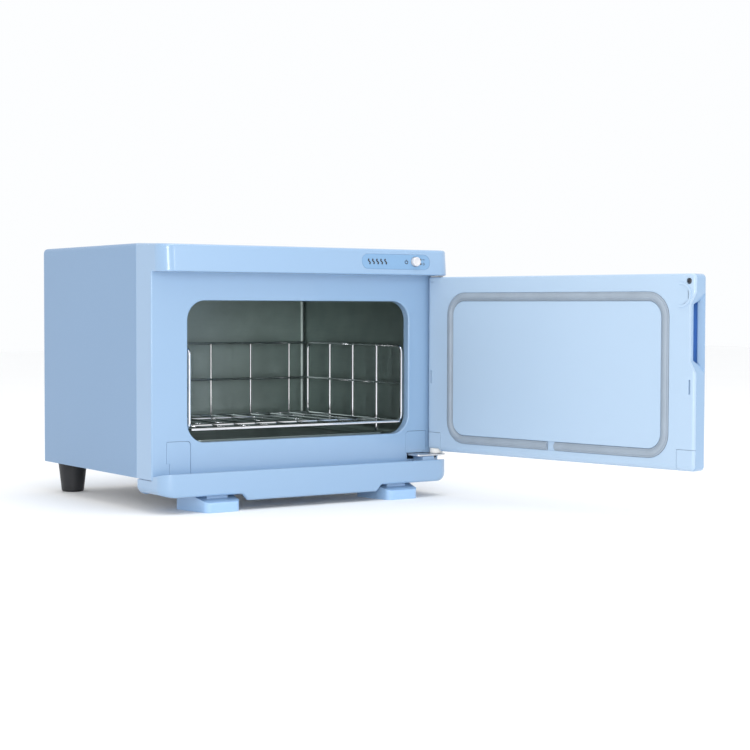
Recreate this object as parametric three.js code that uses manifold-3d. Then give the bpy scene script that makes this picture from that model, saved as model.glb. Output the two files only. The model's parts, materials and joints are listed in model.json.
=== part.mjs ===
// Hot towel cabinet: a front-loading 8-litre towel warmer with a side-hung door.
// Millimetres, +Z up, +Y towards the back. The door is built shut and stands open in its group.
import * as THREE from 'three';
import { mergeVertices } from 'three/addons/utils/BufferGeometryUtils.js';
import Module from 'manifold-3d';

const wasm = await Module();
wasm.setup();

// ---------------------------------------------------------------- driving dimensions
const WIDTH = 350;              // over the case and the front frame
const GAP = 0.3;                // between pieces that touch

// heights above the counter
const CASE_BOTTOM = 32.8;
const CASE_TOP = 268;
const HEADER_BOTTOM = 238.9;
const SILL_TOP = 39.8;          // front lip of the sill
const GUTTER = 36.3;            // back of the sill's top, which falls to drain behind the lip
const SILL_BOTTOM = 16.4;
const APRON_BOTTOM = 9.6;

// depths behind the foremost edge of the header
const RECESS = 23.5;            // face that the door closes against
const REVEAL = 33;              // back of the window's collar
const CASE_FRONT = 56.8;
const CASE_BACK = 286;

// front frame
const WALL = 3;
const PLAN_RADIUS = 15;         // upright corners of the header and the sill
const FACE_LEAN = 2.4;          // the header's face leans back by this much at its top
const TOP_FALL = 2;             // the header's top falls forwards by this much
const SILL_INSET = 1;
const LIP = 3;                  // flat top of the sill's front lip
const APRON_HALF = 78.5;
const APRON_SLOPE = 6;
const WINDOW = { width: 269, height: 142.6, z: 139.5, radius: 20 };
const POCKET = { near: 131.3, far: 158.6, top: 70.3, notch: 48.3, step: 3.4 };

// case and chamber
const SHEET = 0.8;
const CASE_RADIUS = 5;
const CHAMBER = { half: 141, bottom: 62.3, top: 216.7, back: 250, radius: 8, flange: 7 };

// door, measured shut
const DOOR = { half: 173, bottom: 48, top: 237.3, front: 0.5, back: 21 };
const HINGE = { x: 165.5, y: 14 };
const OPEN_ANGLE = 101.3;       // degrees from shut, as the door stands
const LINER = 3.5;
const SHELL_WALL = 2.6;
const SCOOP = { depth: 6, low: 153.5, high: 208, lip: 2.9, lipLow: 138, lipHigh: 220 };
const SLOT = { near: 6, far: 14, depth: 18, low: 150, high: 209.5 };
const PRY_SLIT = { x: 167.5, half: 0.6, deep: 1.5, low: 122, high: 136 };
const CORNER_SLIT = { length: 9, deep: 1.2, drop: 5.8, width: 0.8 };
const GASKET = { width: 287, height: 161, radius: 24, strip: 8.4, drain: 9.5 };
const CORNER_CAP = { width: 20, top: 69 };
const BUSH_NOTCH = { width: 17, height: 3.6 };
const STRIKE = { x: -157, z: 217, radius: 8, thick: 2 };
const LINER_SCREW = { x: -166, z: 230.2, shank: 1.3, hole: 1.6, head: 2.6, sink: 3, length: 10 };
const END_BLOCK = 27;           // solid end of the shell that the handle is cut into

// hinge
const PIN_RADIUS = 2.5;
const PLATE = { low: 43.8, thick: 2, left: 134, right: 174, front: 4, step: 22, shoulder: 171, rise: 24 };
const BOSS = { left: 141, right: 156.5 };                     // block on the sill under the plate
const BUSH = { radius: 4.5, length: 10, flange: 7 };

// controls
const LABEL = { left: 59, right: 146.7, low: 244.6, high: 260.8, radius: 8, thick: 0.5, sunk: 0.9 };
const BUTTON = { x: 127.4, z: 253.2, radius: 4.9, proud: 4, length: 10, stem: 2, stemEnd: 6.5 };
const BUTTON_HOLE = BUTTON.radius + 0.4;

// basket and tray
const BASKET = { half: 129.5, front: 30, back: 222, bottom: 81, top: 163, wire: 1.5, fine: 1.1 };
const TRAY = { half: 116, front: 40, back: 236, rise: 6, radius: 8, skin: 1.2 };

// feet
const FRONT_FOOT = { inner: 90, outer: 128, flare: 8, front: -4.5, back: 48, nose: 10, slope: 22 };
const REAR_FOOT = { x: 152, y: 262, top: 15.8, bottom: 12.2, bore: 2.8, floor: 7 };
const FOOT_SCREW = { shank: 2.2, hole: 2.6, head: 4.5, low: 8 };

// rear panel
const VENT = { count: 9, pitch: 12, width: 4, first: -48, low: 52, high: 74 };
const GLAND = { x: 118, z: 62, hole: 6.4, neck: 6, flange: 9, bore: 3.2 };
const REAR_SCREW = { shank: 1.5, hole: 1.9, head: 3.4, length: 7, proud: 1.9 };

// ---------------------------------------------------------------- finishes
const finish = (color, roughness, metalness = 0) => () =>
  new THREE.MeshStandardMaterial({ color, roughness, metalness });
const blueMoulding = finish(0xa6c9f0, 0.28);
const bluePaint = finish(0x9bbbe0, 0.35);
const labelFilm = finish(0x8db3dc, 0.4);
const steel = finish(0xb9bcc0, 0.35, 1);
const chrome = finish(0xd8dade, 0.12, 1);
const aluminium = finish(0xb4b8b6, 0.4, 1);
const blackPlastic = finish(0x17181a, 0.55);
const whiteNylon = finish(0xf0f0ee, 0.45);
const whiteGloss = finish(0xe4e4e8, 0.25);
const greySilicone = finish(0xa9b2bc, 0.6);
const foam = finish(0xe6dfc8, 0.95);
const copperRed = finish(0xb0563a, 0.5);

// ---------------------------------------------------------------- geometry helpers
function solid(geometry) {
  const bare = geometry.index ? geometry.toNonIndexed() : geometry;
  bare.deleteAttribute('normal');
  bare.deleteAttribute('uv');
  const merged = mergeVertices(bare, 1e-4);
  return new wasm.Manifold(new wasm.Mesh({
    numProp: 3,
    vertProperties: new Float32Array(merged.attributes.position.array),
    triVerts: new Uint32Array(merged.index.array),
  }));
}

const join = (first, ...rest) => rest.reduce((body, other) => body.add(other), first);
const cut = (first, ...rest) => rest.reduce((body, other) => body.subtract(other), first);

function box(x0, x1, y0, y1, z0, z1) {
  const shape = new THREE.BoxGeometry(x1 - x0, y1 - y0, z1 - z0);
  return solid(shape.translate((x0 + x1) / 2, (y0 + y1) / 2, (z0 + z1) / 2));
}

const extrude = (shape, depth, curveSegments) =>
  new THREE.ExtrudeGeometry(shape, { depth, curveSegments, bevelEnabled: false });

// an outline in X and Y, raised from z0 to z1
function planPrism(shape, z0, z1, segments = 6) {
  return solid(extrude(shape, z1 - z0, segments).translate(0, 0, z0));
}

// an outline in X and Z, carried from y0 back to y1
function frontPrism(shape, y0, y1, segments = 6) {
  return solid(extrude(shape, y1 - y0, segments).rotateX(Math.PI / 2).translate(0, y1, 0));
}

// an outline in Y and Z, carried from x0 to x1
function sidePrism(shape, x0, x1, segments = 4) {
  const turn = new THREE.Matrix4().makeBasis(
    new THREE.Vector3(0, 1, 0), new THREE.Vector3(0, 0, 1), new THREE.Vector3(1, 0, 0));
  return solid(extrude(shape, x1 - x0, segments).applyMatrix4(turn).translate(x0, 0, 0));
}

// corners are [x, y, radius], anticlockwise; a radius of 0 is a sharp corner
function outline(corners) {
  const shape = new THREE.Shape();
  corners.forEach(([x, y, radius = 0], i) => {
    const [px, py] = corners.at(i - 1);
    const [nx, ny] = corners[(i + 1) % corners.length];
    const before = new THREE.Vector2(px - x, py - y).normalize();
    const after = new THREE.Vector2(nx - x, ny - y).normalize();
    const reach = radius / Math.tan(before.angleTo(after) / 2);
    const start = [x + before.x * reach, y + before.y * reach];
    const end = [x + after.x * reach, y + after.y * reach];
    if (i === 0) shape.moveTo(...start);
    else shape.lineTo(...start);
    if (radius > 0) {
      const middle = before.clone().add(after).normalize();
      const toCentre = radius / Math.sin(before.angleTo(after) / 2);
      const cx = x + middle.x * toCentre;
      const cy = y + middle.y * toCentre;
      shape.absarc(cx, cy, radius, Math.atan2(start[1] - cy, start[0] - cx),
        Math.atan2(end[1] - cy, end[0] - cx), false);
    }
  });
  return shape;
}

const rectangle = (x0, x1, y0, y1, radius = 0) =>
  outline([[x0, y0, radius], [x1, y0, radius], [x1, y1, radius], [x0, y1, radius]]);

function rod(from, to, radius, sides = 24) {
  const a = new THREE.Vector3(...from);
  const along = new THREE.Vector3(...to).sub(a);
  const shape = new THREE.CylinderGeometry(radius, radius, along.length(), sides);
  const turn = new THREE.Quaternion().setFromUnitVectors(
    new THREE.Vector3(0, 1, 0), along.clone().normalize());
  return solid(shape.applyQuaternion(turn).translate(...a.addScaledVector(along, 0.5).toArray()));
}

// a profile of [radius, height] turned about an upright line through (x, y)
function turned(profile, x, y, sides = 28) {
  const points = profile.map(([r, z]) => new THREE.Vector2(r, z));
  return solid(new THREE.LatheGeometry(points, sides).rotateX(Math.PI / 2).translate(x, y, 0));
}

const cabinet = new THREE.Group();
const door = new THREE.Group();

function piece(parent, name, body, material, shift = [0, 0, 0]) {
  const { vertProperties, triVerts } = body.getMesh();
  const geometry = new THREE.BufferGeometry();
  geometry.setAttribute('position', new THREE.BufferAttribute(new Float32Array(vertProperties), 3));
  geometry.setIndex(new THREE.BufferAttribute(new Uint32Array(triVerts), 1));
  geometry.translate(...shift);
  geometry.computeVertexNormals();
  const mesh = new THREE.Mesh(geometry, material());
  mesh.name = name;
  parent.add(mesh);
}

const fixed = (name, body, material) => piece(cabinet, name, body, material);
const swinging = (name, body, material) =>
  piece(door, name, body, material, [-HINGE.x, -HINGE.y, 0]);

const SIDES = [['left', -1], ['right', 1]];
const HALF = WIDTH / 2;

// ---------------------------------------------------------------- front frame
function windowPrism(margin, y0, y1) {
  const w = WINDOW.width / 2 + margin;
  const h = WINDOW.height / 2 + margin;
  return frontPrism(
    rectangle(-w, w, WINDOW.z - h, WINDOW.z + h, WINDOW.radius + margin), y0, y1, 6);
}

function pocketOutline(side, clearance, bottom) {
  const near = POCKET.near + clearance;
  const far = POCKET.far - clearance;
  const points = [
    [near, bottom], [far - POCKET.step, bottom], [far - POCKET.step, POCKET.notch],
    [far, POCKET.notch], [far, POCKET.top - clearance], [near, POCKET.top - clearance, 4],
  ];
  if (side > 0) return outline(points);
  return outline(points.map(([x, z, r]) => [-x, z, r]).reverse());
}

function header() {
  const plan = planPrism(outline([
    [-HALF, CASE_FRONT - GAP], [-HALF, 0, PLAN_RADIUS], [HALF, 0, PLAN_RADIUS], [HALF, CASE_FRONT - GAP],
  ]), HEADER_BOTTOM - 1, CASE_TOP + 1);
  const profile = sidePrism(outline([
    [0, HEADER_BOTTOM, 1.5], [CASE_FRONT, HEADER_BOTTOM], [CASE_FRONT, CASE_TOP],
    [FACE_LEAN, CASE_TOP - TOP_FALL, 2.5],
  ]), -HALF - 1, HALF + 1);
  return plan.intersect(profile);
}

const SILL_HOLLOW_TOP = GUTTER - WALL;

function sill() {
  const half = HALF - SILL_INSET;
  const plan = planPrism(outline([
    [-half, CASE_FRONT], [-half, 0, PLAN_RADIUS], [half, 0, PLAN_RADIUS], [half, CASE_FRONT],
  ]), APRON_BOTTOM - 1, SILL_TOP + 1);
  const front = frontPrism(outline([
    [-half, SILL_BOTTOM, 9], [-APRON_HALF - APRON_SLOPE, SILL_BOTTOM], [-APRON_HALF, APRON_BOTTOM, 3],
    [APRON_HALF, APRON_BOTTOM, 3], [APRON_HALF + APRON_SLOPE, SILL_BOTTOM], [half, SILL_BOTTOM, 9],
    [half, SILL_TOP], [-half, SILL_TOP],
  ]), -1, CASE_FRONT + 1);
  const profile = sidePrism(outline([
    [0, 0], [CASE_FRONT, 0], [CASE_FRONT, GUTTER], [RECESS, GUTTER], [LIP, SILL_TOP], [0, SILL_TOP, 1.2],
  ]), -half - 1, half + 1);
  const shadowGap = [-1, 1].map((side) => box(
    Math.min(side * (half - 2), side * HALF), Math.max(side * (half - 2), side * HALF),
    RECESS + 2, CASE_FRONT + 1, CASE_BOTTOM - 1, SILL_TOP + 1));
  return cut(plan.intersect(front).intersect(profile), ...shadowGap);
}

function frameBack() {
  const shell = box(-HALF, HALF, RECESS, CASE_FRONT - GAP, CASE_BOTTOM, CASE_TOP - 1);
  const collar = windowPrism(WALL, RECESS, REVEAL);
  const hollow = cut(
    box(-HALF + WALL, HALF - WALL, RECESS + WALL, CASE_FRONT, CASE_BOTTOM + WALL, CASE_TOP - WALL - 2),
    collar);
  return cut(shell, hollow);
}

// a hollow that keeps the wall round the upright corners
function cornerHollow(half, front, back, z0, z1) {
  const side = half - WALL;
  const radius = PLAN_RADIUS - WALL;
  return planPrism(outline([
    [-side, back], [-side, front + WALL, radius], [side, front + WALL, radius], [side, back],
  ]), z0, z1);
}

function frontFrame() {
  const boss = box(BOSS.left, BOSS.right, PLATE.front + 0.5, RECESS + 1, GUTTER - 1, PLATE.low - GAP);
  const bracketSlot = box(PLATE.left - 1, PLATE.shoulder + 1.5, RECESS - 1, RECESS + WALL + 1,
    SILL_TOP, PLATE.low + PLATE.thick + 0.5);
  const pocket = (side, bottom) =>
    frontPrism(pocketOutline(side, 0, bottom), RECESS - 1, RECESS + WALL + 1);
  const labelSeat = frontPrism(
    rectangle(LABEL.left, LABEL.right, LABEL.low, LABEL.high, LABEL.radius),
    -1, FACE_LEAN / 2 + LABEL.sunk);
  const buttonHole = rod([BUTTON.x, -2, BUTTON.z], [BUTTON.x, 12, BUTTON.z], BUTTON_HOLE);
  const pinHole = rod([HINGE.x, HINGE.y, HEADER_BOTTOM - 1], [HINGE.x, HINGE.y, HEADER_BOTTOM + 6],
    PIN_RADIUS + GAP);
  const headerHollow = cornerHollow(HALF, FACE_LEAN, CASE_FRONT,
    HEADER_BOTTOM + WALL, CASE_TOP - TOP_FALL - WALL);
  const sillHollow = cornerHollow(HALF - SILL_INSET, 1, CASE_FRONT - WALL, 0, SILL_HOLLOW_TOP);
  const body = join(frameBack(), header(), sill(), boss);
  return cut(body, headerHollow, sillHollow, windowPrism(0, RECESS - 1, REVEAL + 1), bracketSlot,
    pocket(-1, GUTTER), pocket(1, PLATE.low + PLATE.thick + 0.4), labelSeat, buttonHole, pinHole);
}

function hingeCover(side) {
  const bottom = side < 0 ? GUTTER + GAP : PLATE.low + PLATE.thick + 0.7;
  return frontPrism(pocketOutline(side, GAP, bottom), RECESS, RECESS + WALL);
}

fixed('front_frame', frontFrame(), blueMoulding);
for (const [name, side] of SIDES) fixed(`hinge_cover_${name}`, hingeCover(side), blueMoulding);

// ---------------------------------------------------------------- case, base and rear panel
function outerCase() {
  const half = HALF;
  const inner = half - SHEET;
  const outside = outline([
    [-half, CASE_BOTTOM], [half, CASE_BOTTOM],
    [half, CASE_TOP, CASE_RADIUS], [-half, CASE_TOP, CASE_RADIUS],
  ]);
  const inside = outline([
    [-inner, CASE_BOTTOM - 1], [inner, CASE_BOTTOM - 1],
    [inner, CASE_TOP - SHEET, CASE_RADIUS - SHEET], [-inner, CASE_TOP - SHEET, CASE_RADIUS - SHEET],
  ]);
  return cut(frontPrism(outside, CASE_FRONT, CASE_BACK, 4),
    frontPrism(inside, CASE_FRONT - 1, CASE_BACK + 1, 4));
}

const PANEL_HALF = HALF - SHEET - GAP;
const REAR_FACE = CASE_BACK - 1;
const REAR_SCREWS = [-160, 0, 160].flatMap((x) => [[x, 44], [x, 256]]);

function basePanel() {
  const floor = box(-PANEL_HALF, PANEL_HALF, CASE_FRONT, REAR_FACE - SHEET - GAP,
    CASE_BOTTOM, CASE_BOTTOM + SHEET);
  const holes = [-1, 1].map((side) => rod([side * REAR_FOOT.x, REAR_FOOT.y, CASE_BOTTOM - 2],
    [side * REAR_FOOT.x, REAR_FOOT.y, CASE_BOTTOM + 4], FOOT_SCREW.hole, 12));
  return cut(floor, ...holes);
}

function rearPanel() {
  const plate = frontPrism(rectangle(-PANEL_HALF, PANEL_HALF, CASE_BOTTOM,
    CASE_TOP - SHEET - GAP, 3.4), REAR_FACE - SHEET, REAR_FACE, 3);
  const through = (x, z, radius, sides) => rod([x, REAR_FACE - 4, z], [x, REAR_FACE + 4, z], radius, sides);
  const screwHoles = REAR_SCREWS.map(([x, z]) => through(x, z, REAR_SCREW.hole, 10));
  const vents = Array.from({ length: VENT.count }, (_, i) => {
    const x = VENT.first + VENT.pitch * i;
    return box(x, x + VENT.width, REAR_FACE - 4, REAR_FACE + 4, VENT.low, VENT.high);
  });
  return cut(plate, through(GLAND.x, GLAND.z, GLAND.hole, 20), ...screwHoles, ...vents);
}

fixed('outer_case', outerCase(), bluePaint);
fixed('base_panel', basePanel(), steel);
fixed('rear_panel', rearPanel(), bluePaint);
REAR_SCREWS.forEach(([x, z], i) => {
  const seat = [x, REAR_FACE + GAP, z];
  const shank = rod([x, REAR_FACE - REAR_SCREW.length, z], seat, REAR_SCREW.shank, 10);
  const head = rod(seat, [x, REAR_FACE + REAR_SCREW.proud, z], REAR_SCREW.head, 14);
  fixed(`rear_screw_${i + 1}`, join(shank, head), steel);
});

function cordGland() {
  const along = (from, to, radius, sides) =>
    rod([GLAND.x, REAR_FACE + from, GLAND.z], [GLAND.x, REAR_FACE + to, GLAND.z], radius, sides);
  const flange = along(GAP, 3, GLAND.flange, 20);
  const neck = along(-6, 1, GLAND.neck, 20);
  return cut(join(flange, neck), along(-7, 6, GLAND.bore, 16));
}
fixed('cord_gland', cordGland(), blackPlastic);

// ---------------------------------------------------------------- chamber, insulation and heating
const CHAMBER_FRONT = REVEAL + GAP;

function chamberPrism(margin, y0, y1) {
  return frontPrism(rectangle(-CHAMBER.half - margin, CHAMBER.half + margin,
    CHAMBER.bottom - margin, CHAMBER.top + margin, CHAMBER.radius + margin), y0, y1, 4);
}

function innerChamber() {
  const tub = cut(chamberPrism(0, CHAMBER_FRONT, CHAMBER.back),
    chamberPrism(-SHEET, CHAMBER_FRONT - 1, CHAMBER.back - SHEET));
  const flange = cut(chamberPrism(CHAMBER.flange, CHAMBER_FRONT, CHAMBER_FRONT + SHEET),
    chamberPrism(-SHEET, CHAMBER_FRONT - 1, CHAMBER_FRONT + 3));
  return join(tub, flange);
}
fixed('inner_chamber', innerChamber(), aluminium);

const FOAM_FRONT = CHAMBER_FRONT + SHEET + GAP;
const HEATER = { top: CHAMBER.bottom - GAP, thick: 4, half: 112, front: 64, back: 236 };
const FOAM_SIDE = HALF - SHEET - 3;
const CHAMBER_SIDE = CHAMBER.half + GAP;
for (const [name, side] of SIDES) {
  const near = side * CHAMBER_SIDE;
  const far = side * (FOAM_SIDE - WALL);
  fixed(`insulation_${name}`, box(Math.min(near, far), Math.max(near, far),
    FOAM_FRONT, CHAMBER.back, CHAMBER.bottom - 8, CHAMBER.top), foam);
}
fixed('insulation_top', box(-FOAM_SIDE + WALL, FOAM_SIDE - WALL, FOAM_FRONT + 1, CHAMBER.back,
  CHAMBER.top + GAP, CHAMBER.top + 21), foam);
fixed('insulation_base', box(-CHAMBER_SIDE + 1, CHAMBER_SIDE - 1, CASE_FRONT + 1, CHAMBER.back,
  CASE_BOTTOM + SHEET + GAP, HEATER.top - HEATER.thick - GAP), foam);
fixed('insulation_rear', box(-FOAM_SIDE + WALL, FOAM_SIDE - WALL, CHAMBER.back + GAP,
  CHAMBER.back + 12, CHAMBER.bottom, CHAMBER.top), foam);
fixed('heater_plate', box(-HEATER.half, HEATER.half, HEATER.front, HEATER.back,
  HEATER.top - HEATER.thick, HEATER.top), copperRed);

// electrical parts in the bay behind the chamber
const BAY = CHAMBER.back + 12 + GAP;
const SENSOR = { x: -60, z: 150, radius: 8, body: 7, blade: 12 };
const FUSE = { left: -20, right: 6, radius: 3, reach: 3.5 };
const TERMINALS = {
  left: 100, right: 136, low: CASE_BOTTOM + SHEET + GAP, top: CASE_BOTTOM + SHEET + 16,
  holes: [106, 118, 130], hole: 2.4, middle: BAY + 9,
};

function thermostat() {
  const { x, z, radius, body, blade } = SENSOR;
  return join(rod([x, BAY, z], [x, BAY + body, z], radius, 20),
    box(x - radius / 2, x + radius / 2, BAY + body - 2, BAY + blade, z - 2.5, z + 2.5));
}

function terminalBlock() {
  const { left, right, low, top, holes, hole, middle } = TERMINALS;
  return cut(box(left, right, BAY + 2, BAY + 16, low, top),
    ...holes.map((x) => rod([x, middle, top - 6], [x, middle, top + 1], hole, 12)));
}

fixed('thermostat', thermostat(), blackPlastic);
fixed('thermal_fuse', rod([FUSE.left, BAY + FUSE.reach, SENSOR.z], [FUSE.right, BAY + FUSE.reach, SENSOR.z],
  FUSE.radius, 14), whiteNylon);
fixed('terminal_block', terminalBlock(), whiteNylon);

// ---------------------------------------------------------------- controls in the header
function controlLabel() {
  const shape = frontPrism(rectangle(LABEL.left + GAP, LABEL.right - GAP,
    LABEL.low + GAP, LABEL.high - GAP, LABEL.radius - GAP), 0, LABEL.thick);
  const hole = rod([BUTTON.x, -2, BUTTON.z], [BUTTON.x, 4, BUTTON.z], BUTTON_HOLE);
  const lift = FACE_LEAN / 2 + LABEL.sunk - LABEL.thick - GAP;
  return cut(shape, hole).translate([0, lift, 0]);
}
fixed('control_label', controlLabel(), labelFilm);

// the switch clips behind the header's wall; its collar guides the button
const SWITCH = { front: FACE_LEAN + WALL + GAP, step: 12.5, back: 30.5 };
fixed('power_switch', cut(
  box(BUTTON.x - 8, BUTTON.x + 8, SWITCH.front, SWITCH.back, BUTTON.z - 7, BUTTON.z + 7),
  rod([BUTTON.x, SWITCH.front - 1, BUTTON.z], [BUTTON.x, SWITCH.step, BUTTON.z], BUTTON_HOLE),
  rod([BUTTON.x, SWITCH.step - 1, BUTTON.z], [BUTTON.x, SWITCH.step + 8, BUTTON.z],
    BUTTON.stem + 0.4, 16)),
blackPlastic);

const button = new THREE.Group();
function powerButton() {
  const { radius, length, stem, stemEnd, proud } = BUTTON;
  const edge = 0.8;
  const cap = turned([
    [0, 0], [radius, 0], [radius, length - edge], [radius - edge, length], [0, length],
  ], 0, 0);
  const pusher = turned([[0, -stemEnd], [stem, -stemEnd], [stem, 1], [0, 1]], 0, 0, 16);
  // the turned shape stands up; lay it down so that its top faces the front
  const face = FACE_LEAN / 2 - proud;
  return join(cap, pusher).rotate([90, 0, 0]).translate([BUTTON.x, face + length, BUTTON.z]);
}
piece(button, 'power_button', powerButton(), whiteGloss);
cabinet.add(button);

// supply wires from the terminal block to the switch, bound in one loom
function wiringLoom() {
  const radius = 2.5;
  const x = TERMINALS.holes[1];
  const bend = [x, TERMINALS.middle, BUTTON.z];
  const knee = solid(new THREE.IcosahedronGeometry(radius, 1).translate(...bend));
  return join(rod([x, TERMINALS.middle, TERMINALS.top + GAP], bend, radius, 10),
    rod(bend, [BUTTON.x - 4, SWITCH.back + GAP, BUTTON.z], radius, 10), knee);
}
fixed('wiring_loom', wiringLoom(), blackPlastic);

// ---------------------------------------------------------------- basket and drip tray
const wireBar = (from, to, radius = BASKET.wire) => rod(from, to, radius, 8);
const RAILS = [BASKET.bottom, (BASKET.bottom + BASKET.top) / 2, BASKET.top];

// upright grille; its uprights at the second and fourth places run down as legs
function basketSide(side) {
  const { half, front, back, bottom, top, wire } = BASKET;
  const x = side * half;
  const rails = RAILS.map((z) => wireBar([x, front - wire, z], [x, back + wire, z]));
  const uprights = Array.from({ length: 5 }, (_, i) => {
    const y = front + (back - front) * i / 4;
    const foot = i % 2 ? CHAMBER.bottom + SHEET + GAP : bottom - wire;
    return wireBar([x, y, foot], [x, y, top + wire]);
  });
  return join(...rails, ...uprights);
}

function basketBack() {
  const { half, back, bottom, top, wire, fine } = BASKET;
  const end = half - wire - GAP;
  const rails = RAILS.map((z) => wireBar([-end, back, z], [end, back, z]));
  const uprights = Array.from({ length: 5 }, (_, i) => {
    const x = half * (i - 2) * 0.4;
    return wireBar([x, back, bottom], [x, back, top], fine);
  });
  return join(...rails, ...uprights);
}

function basketFloor() {
  const { half, front, back, bottom, wire, fine } = BASKET;
  const end = half - wire - GAP;
  const last = back - wire - GAP;
  const cross = [front, front + 48, back - 48].map((y) => wireBar([-end, y, bottom], [end, y, bottom]));
  const along = Array.from({ length: 9 }, (_, i) => {
    const x = half * (i - 4) * 0.2;
    return wireBar([x, front, bottom], [x, last, bottom], fine);
  });
  return join(...cross, ...along);
}

for (const [name, side] of SIDES) fixed(`basket_side_${name}`, basketSide(side), chrome);
fixed('basket_back', basketBack(), chrome);
fixed('basket_floor', basketFloor(), chrome);

function dripTray() {
  const z = CHAMBER.bottom + SHEET + GAP;
  const { half, front, back, rise, radius, skin } = TRAY;
  const outer = planPrism(rectangle(-half, half, front, back, radius), z, z + rise, 4);
  const inner = planPrism(rectangle(-half + skin, half - skin, front + skin, back - skin, radius - skin),
    z + skin, z + rise + 1, 4);
  return cut(outer, inner);
}
fixed('drip_tray', dripTray(), aluminium);

// ---------------------------------------------------------------- feet
function frontFoot(side) {
  const { inner, outer, flare, front, back, nose, slope } = FRONT_FOOT;
  const top = SILL_BOTTOM - GAP;
  const profile = sidePrism(outline([
    [front, 0], [back, 0], [back, top], [slope, top], [front, nose, 1.5]]), -HALF, HALF);
  const corners = [
    [inner, front, 7], [outer, front, 7], [outer + flare, back, 3], [inner - flare + 1, back, 3]];
  const plan = planPrism(outline(side > 0 ? corners
    : corners.map(([x, y, r]) => [-x, y, r]).reverse()), -1, SILL_BOTTOM, 4);
  const middle = side * (inner + outer) / 2;
  const block = box(middle - 12, middle + 12, 9, back - 5, nose / 2, SILL_HOLLOW_TOP - GAP);
  return join(profile.intersect(plan), block);
}

function rearFoot(side) {
  const { x, y, top, bottom, bore, floor } = REAR_FOOT;
  const height = CASE_BOTTOM - GAP;
  return turned([
    [0, 0], [bottom - 1, 0], [bottom, 1], [top, height], [bore, height], [bore, floor], [0, floor],
  ], side * x, y);
}

function footScrew(side) {
  const at = (z) => [side * REAR_FOOT.x, REAR_FOOT.y, z];
  return join(rod(at(FOOT_SCREW.low), at(CASE_BOTTOM + 3), FOOT_SCREW.shank, 12),
    rod(at(CASE_BOTTOM + SHEET + GAP), at(CASE_BOTTOM + SHEET + 3), FOOT_SCREW.head, 14));
}

for (const [name, side] of SIDES) {
  fixed(`front_foot_${name}`, frontFoot(side), blueMoulding);
  fixed(`rear_foot_${name}`, rearFoot(side), blackPlastic);
  fixed(`foot_screw_${name}`, footScrew(side), steel);
}

// ---------------------------------------------------------------- door
// recess for the fingers in the free end; its ends slant outwards
function handleScoop() {
  const { half, front, back } = DOOR;
  const floor = -half + SCOOP.depth;
  const outside = -half - 4;
  const plan = planPrism(outline([
    [outside, back + 2], [outside, front + SCOOP.lip], [-half + 0.6, front + SCOOP.lip],
    [floor, SLOT.near], [floor, back + 2],
  ]), SCOOP.lipLow - 18, SCOOP.lipHigh + 20);
  const ends = sidePrism(outline([
    [front + 2, SCOOP.lipLow], [back + 1, SCOOP.low], [back + 1, SCOOP.high], [front + 2, SCOOP.lipHigh],
  ]), outside - 1, floor + 14);
  return plan.intersect(ends);
}

// the slot in the scoop's floor, which the fingertips hook into
function handleSlot() {
  return box(-DOOR.half - 4, -DOOR.half + SLOT.depth, SLOT.near, SLOT.far, SLOT.low, SLOT.high);
}

function doorBlank() {
  const { half, bottom, top, front, back } = DOOR;
  const plan = planPrism(outline([
    [-half, front, 4], [half, front, 12], [half, back, 5], [-half, back, 1],
  ]), bottom - 1, top + 1, 5);
  const profile = sidePrism(outline([
    [front, bottom, 3], [back, bottom, 7], [back, top, 1.5], [front, top, 3],
  ]), -half - 1, half + 1);
  const bushNotch = box(half - BUSH_NOTCH.width, half + 1, front - 1, back + 1,
    bottom - 1, bottom + BUSH_NOTCH.height);
  return cut(plan.intersect(profile), handleScoop(), handleSlot(), bushNotch);
}

const blank = doorBlank();
const NOTCH_TOP = DOOR.bottom + BUSH_NOTCH.height;
const SEAM = DOOR.back - LINER - GAP;             // back of the shell, in front of the liner
const capBox = (side, clearance) => {
  const near = DOOR.half - CORNER_CAP.width + clearance;
  const far = DOOR.half + 2;
  return box(side > 0 ? near : -far, side > 0 ? far : -near, DOOR.back - LINER,
    DOOR.back + 1, DOOR.bottom - 2, CORNER_CAP.top - clearance);
};
const onHinge = (z0, z1, radius, sides = 20) =>
  rod([HINGE.x, HINGE.y, z0], [HINGE.x, HINGE.y, z1], radius, sides);
const lowerBushHole = onHinge(NOTCH_TOP - 1, NOTCH_TOP + BUSH.length + GAP, BUSH.radius + GAP);
const upperBushHole = onHinge(DOOR.top - BUSH.length - GAP, DOOR.top + 1, BUSH.radius + GAP);
const onStrike = (y0, y1, radius) =>
  rod([STRIKE.x, y0, STRIKE.z], [STRIKE.x, y1, STRIKE.z], radius, 24);
const onLinerScrew = (y0, y1, radius, sides = 10) =>
  rod([LINER_SCREW.x, y0, LINER_SCREW.z], [LINER_SCREW.x, y1, LINER_SCREW.z], radius, sides);
const DOOR_CAVITY = {
  left: -DOOR.half + END_BLOCK, right: HINGE.x - BUSH.radius - 4, front: DOOR.front + SHELL_WALL,
  bottom: DOOR.bottom + SHELL_WALL + 3, top: DOOR.top - SHELL_WALL,
};

function doorShell() {
  const outer = blank.intersect(box(-HALF, HALF, DOOR.front - 1, SEAM, DOOR.bottom - 1, DOOR.top + 1));
  const { left, right, front, bottom, top } = DOOR_CAVITY;
  const cavity = box(left, right, front, SEAM + 1, bottom, top);
  const strikeSeat = onStrike(SEAM - STRIKE.thick - 0.6, SEAM + 1, STRIKE.radius + GAP);
  const screwHole = onLinerScrew(SEAM - 8.2, SEAM + 1, LINER_SCREW.hole);
  return cut(outer, cavity, strikeSeat, screwHole, upperBushHole, lowerBushHole);
}

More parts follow.
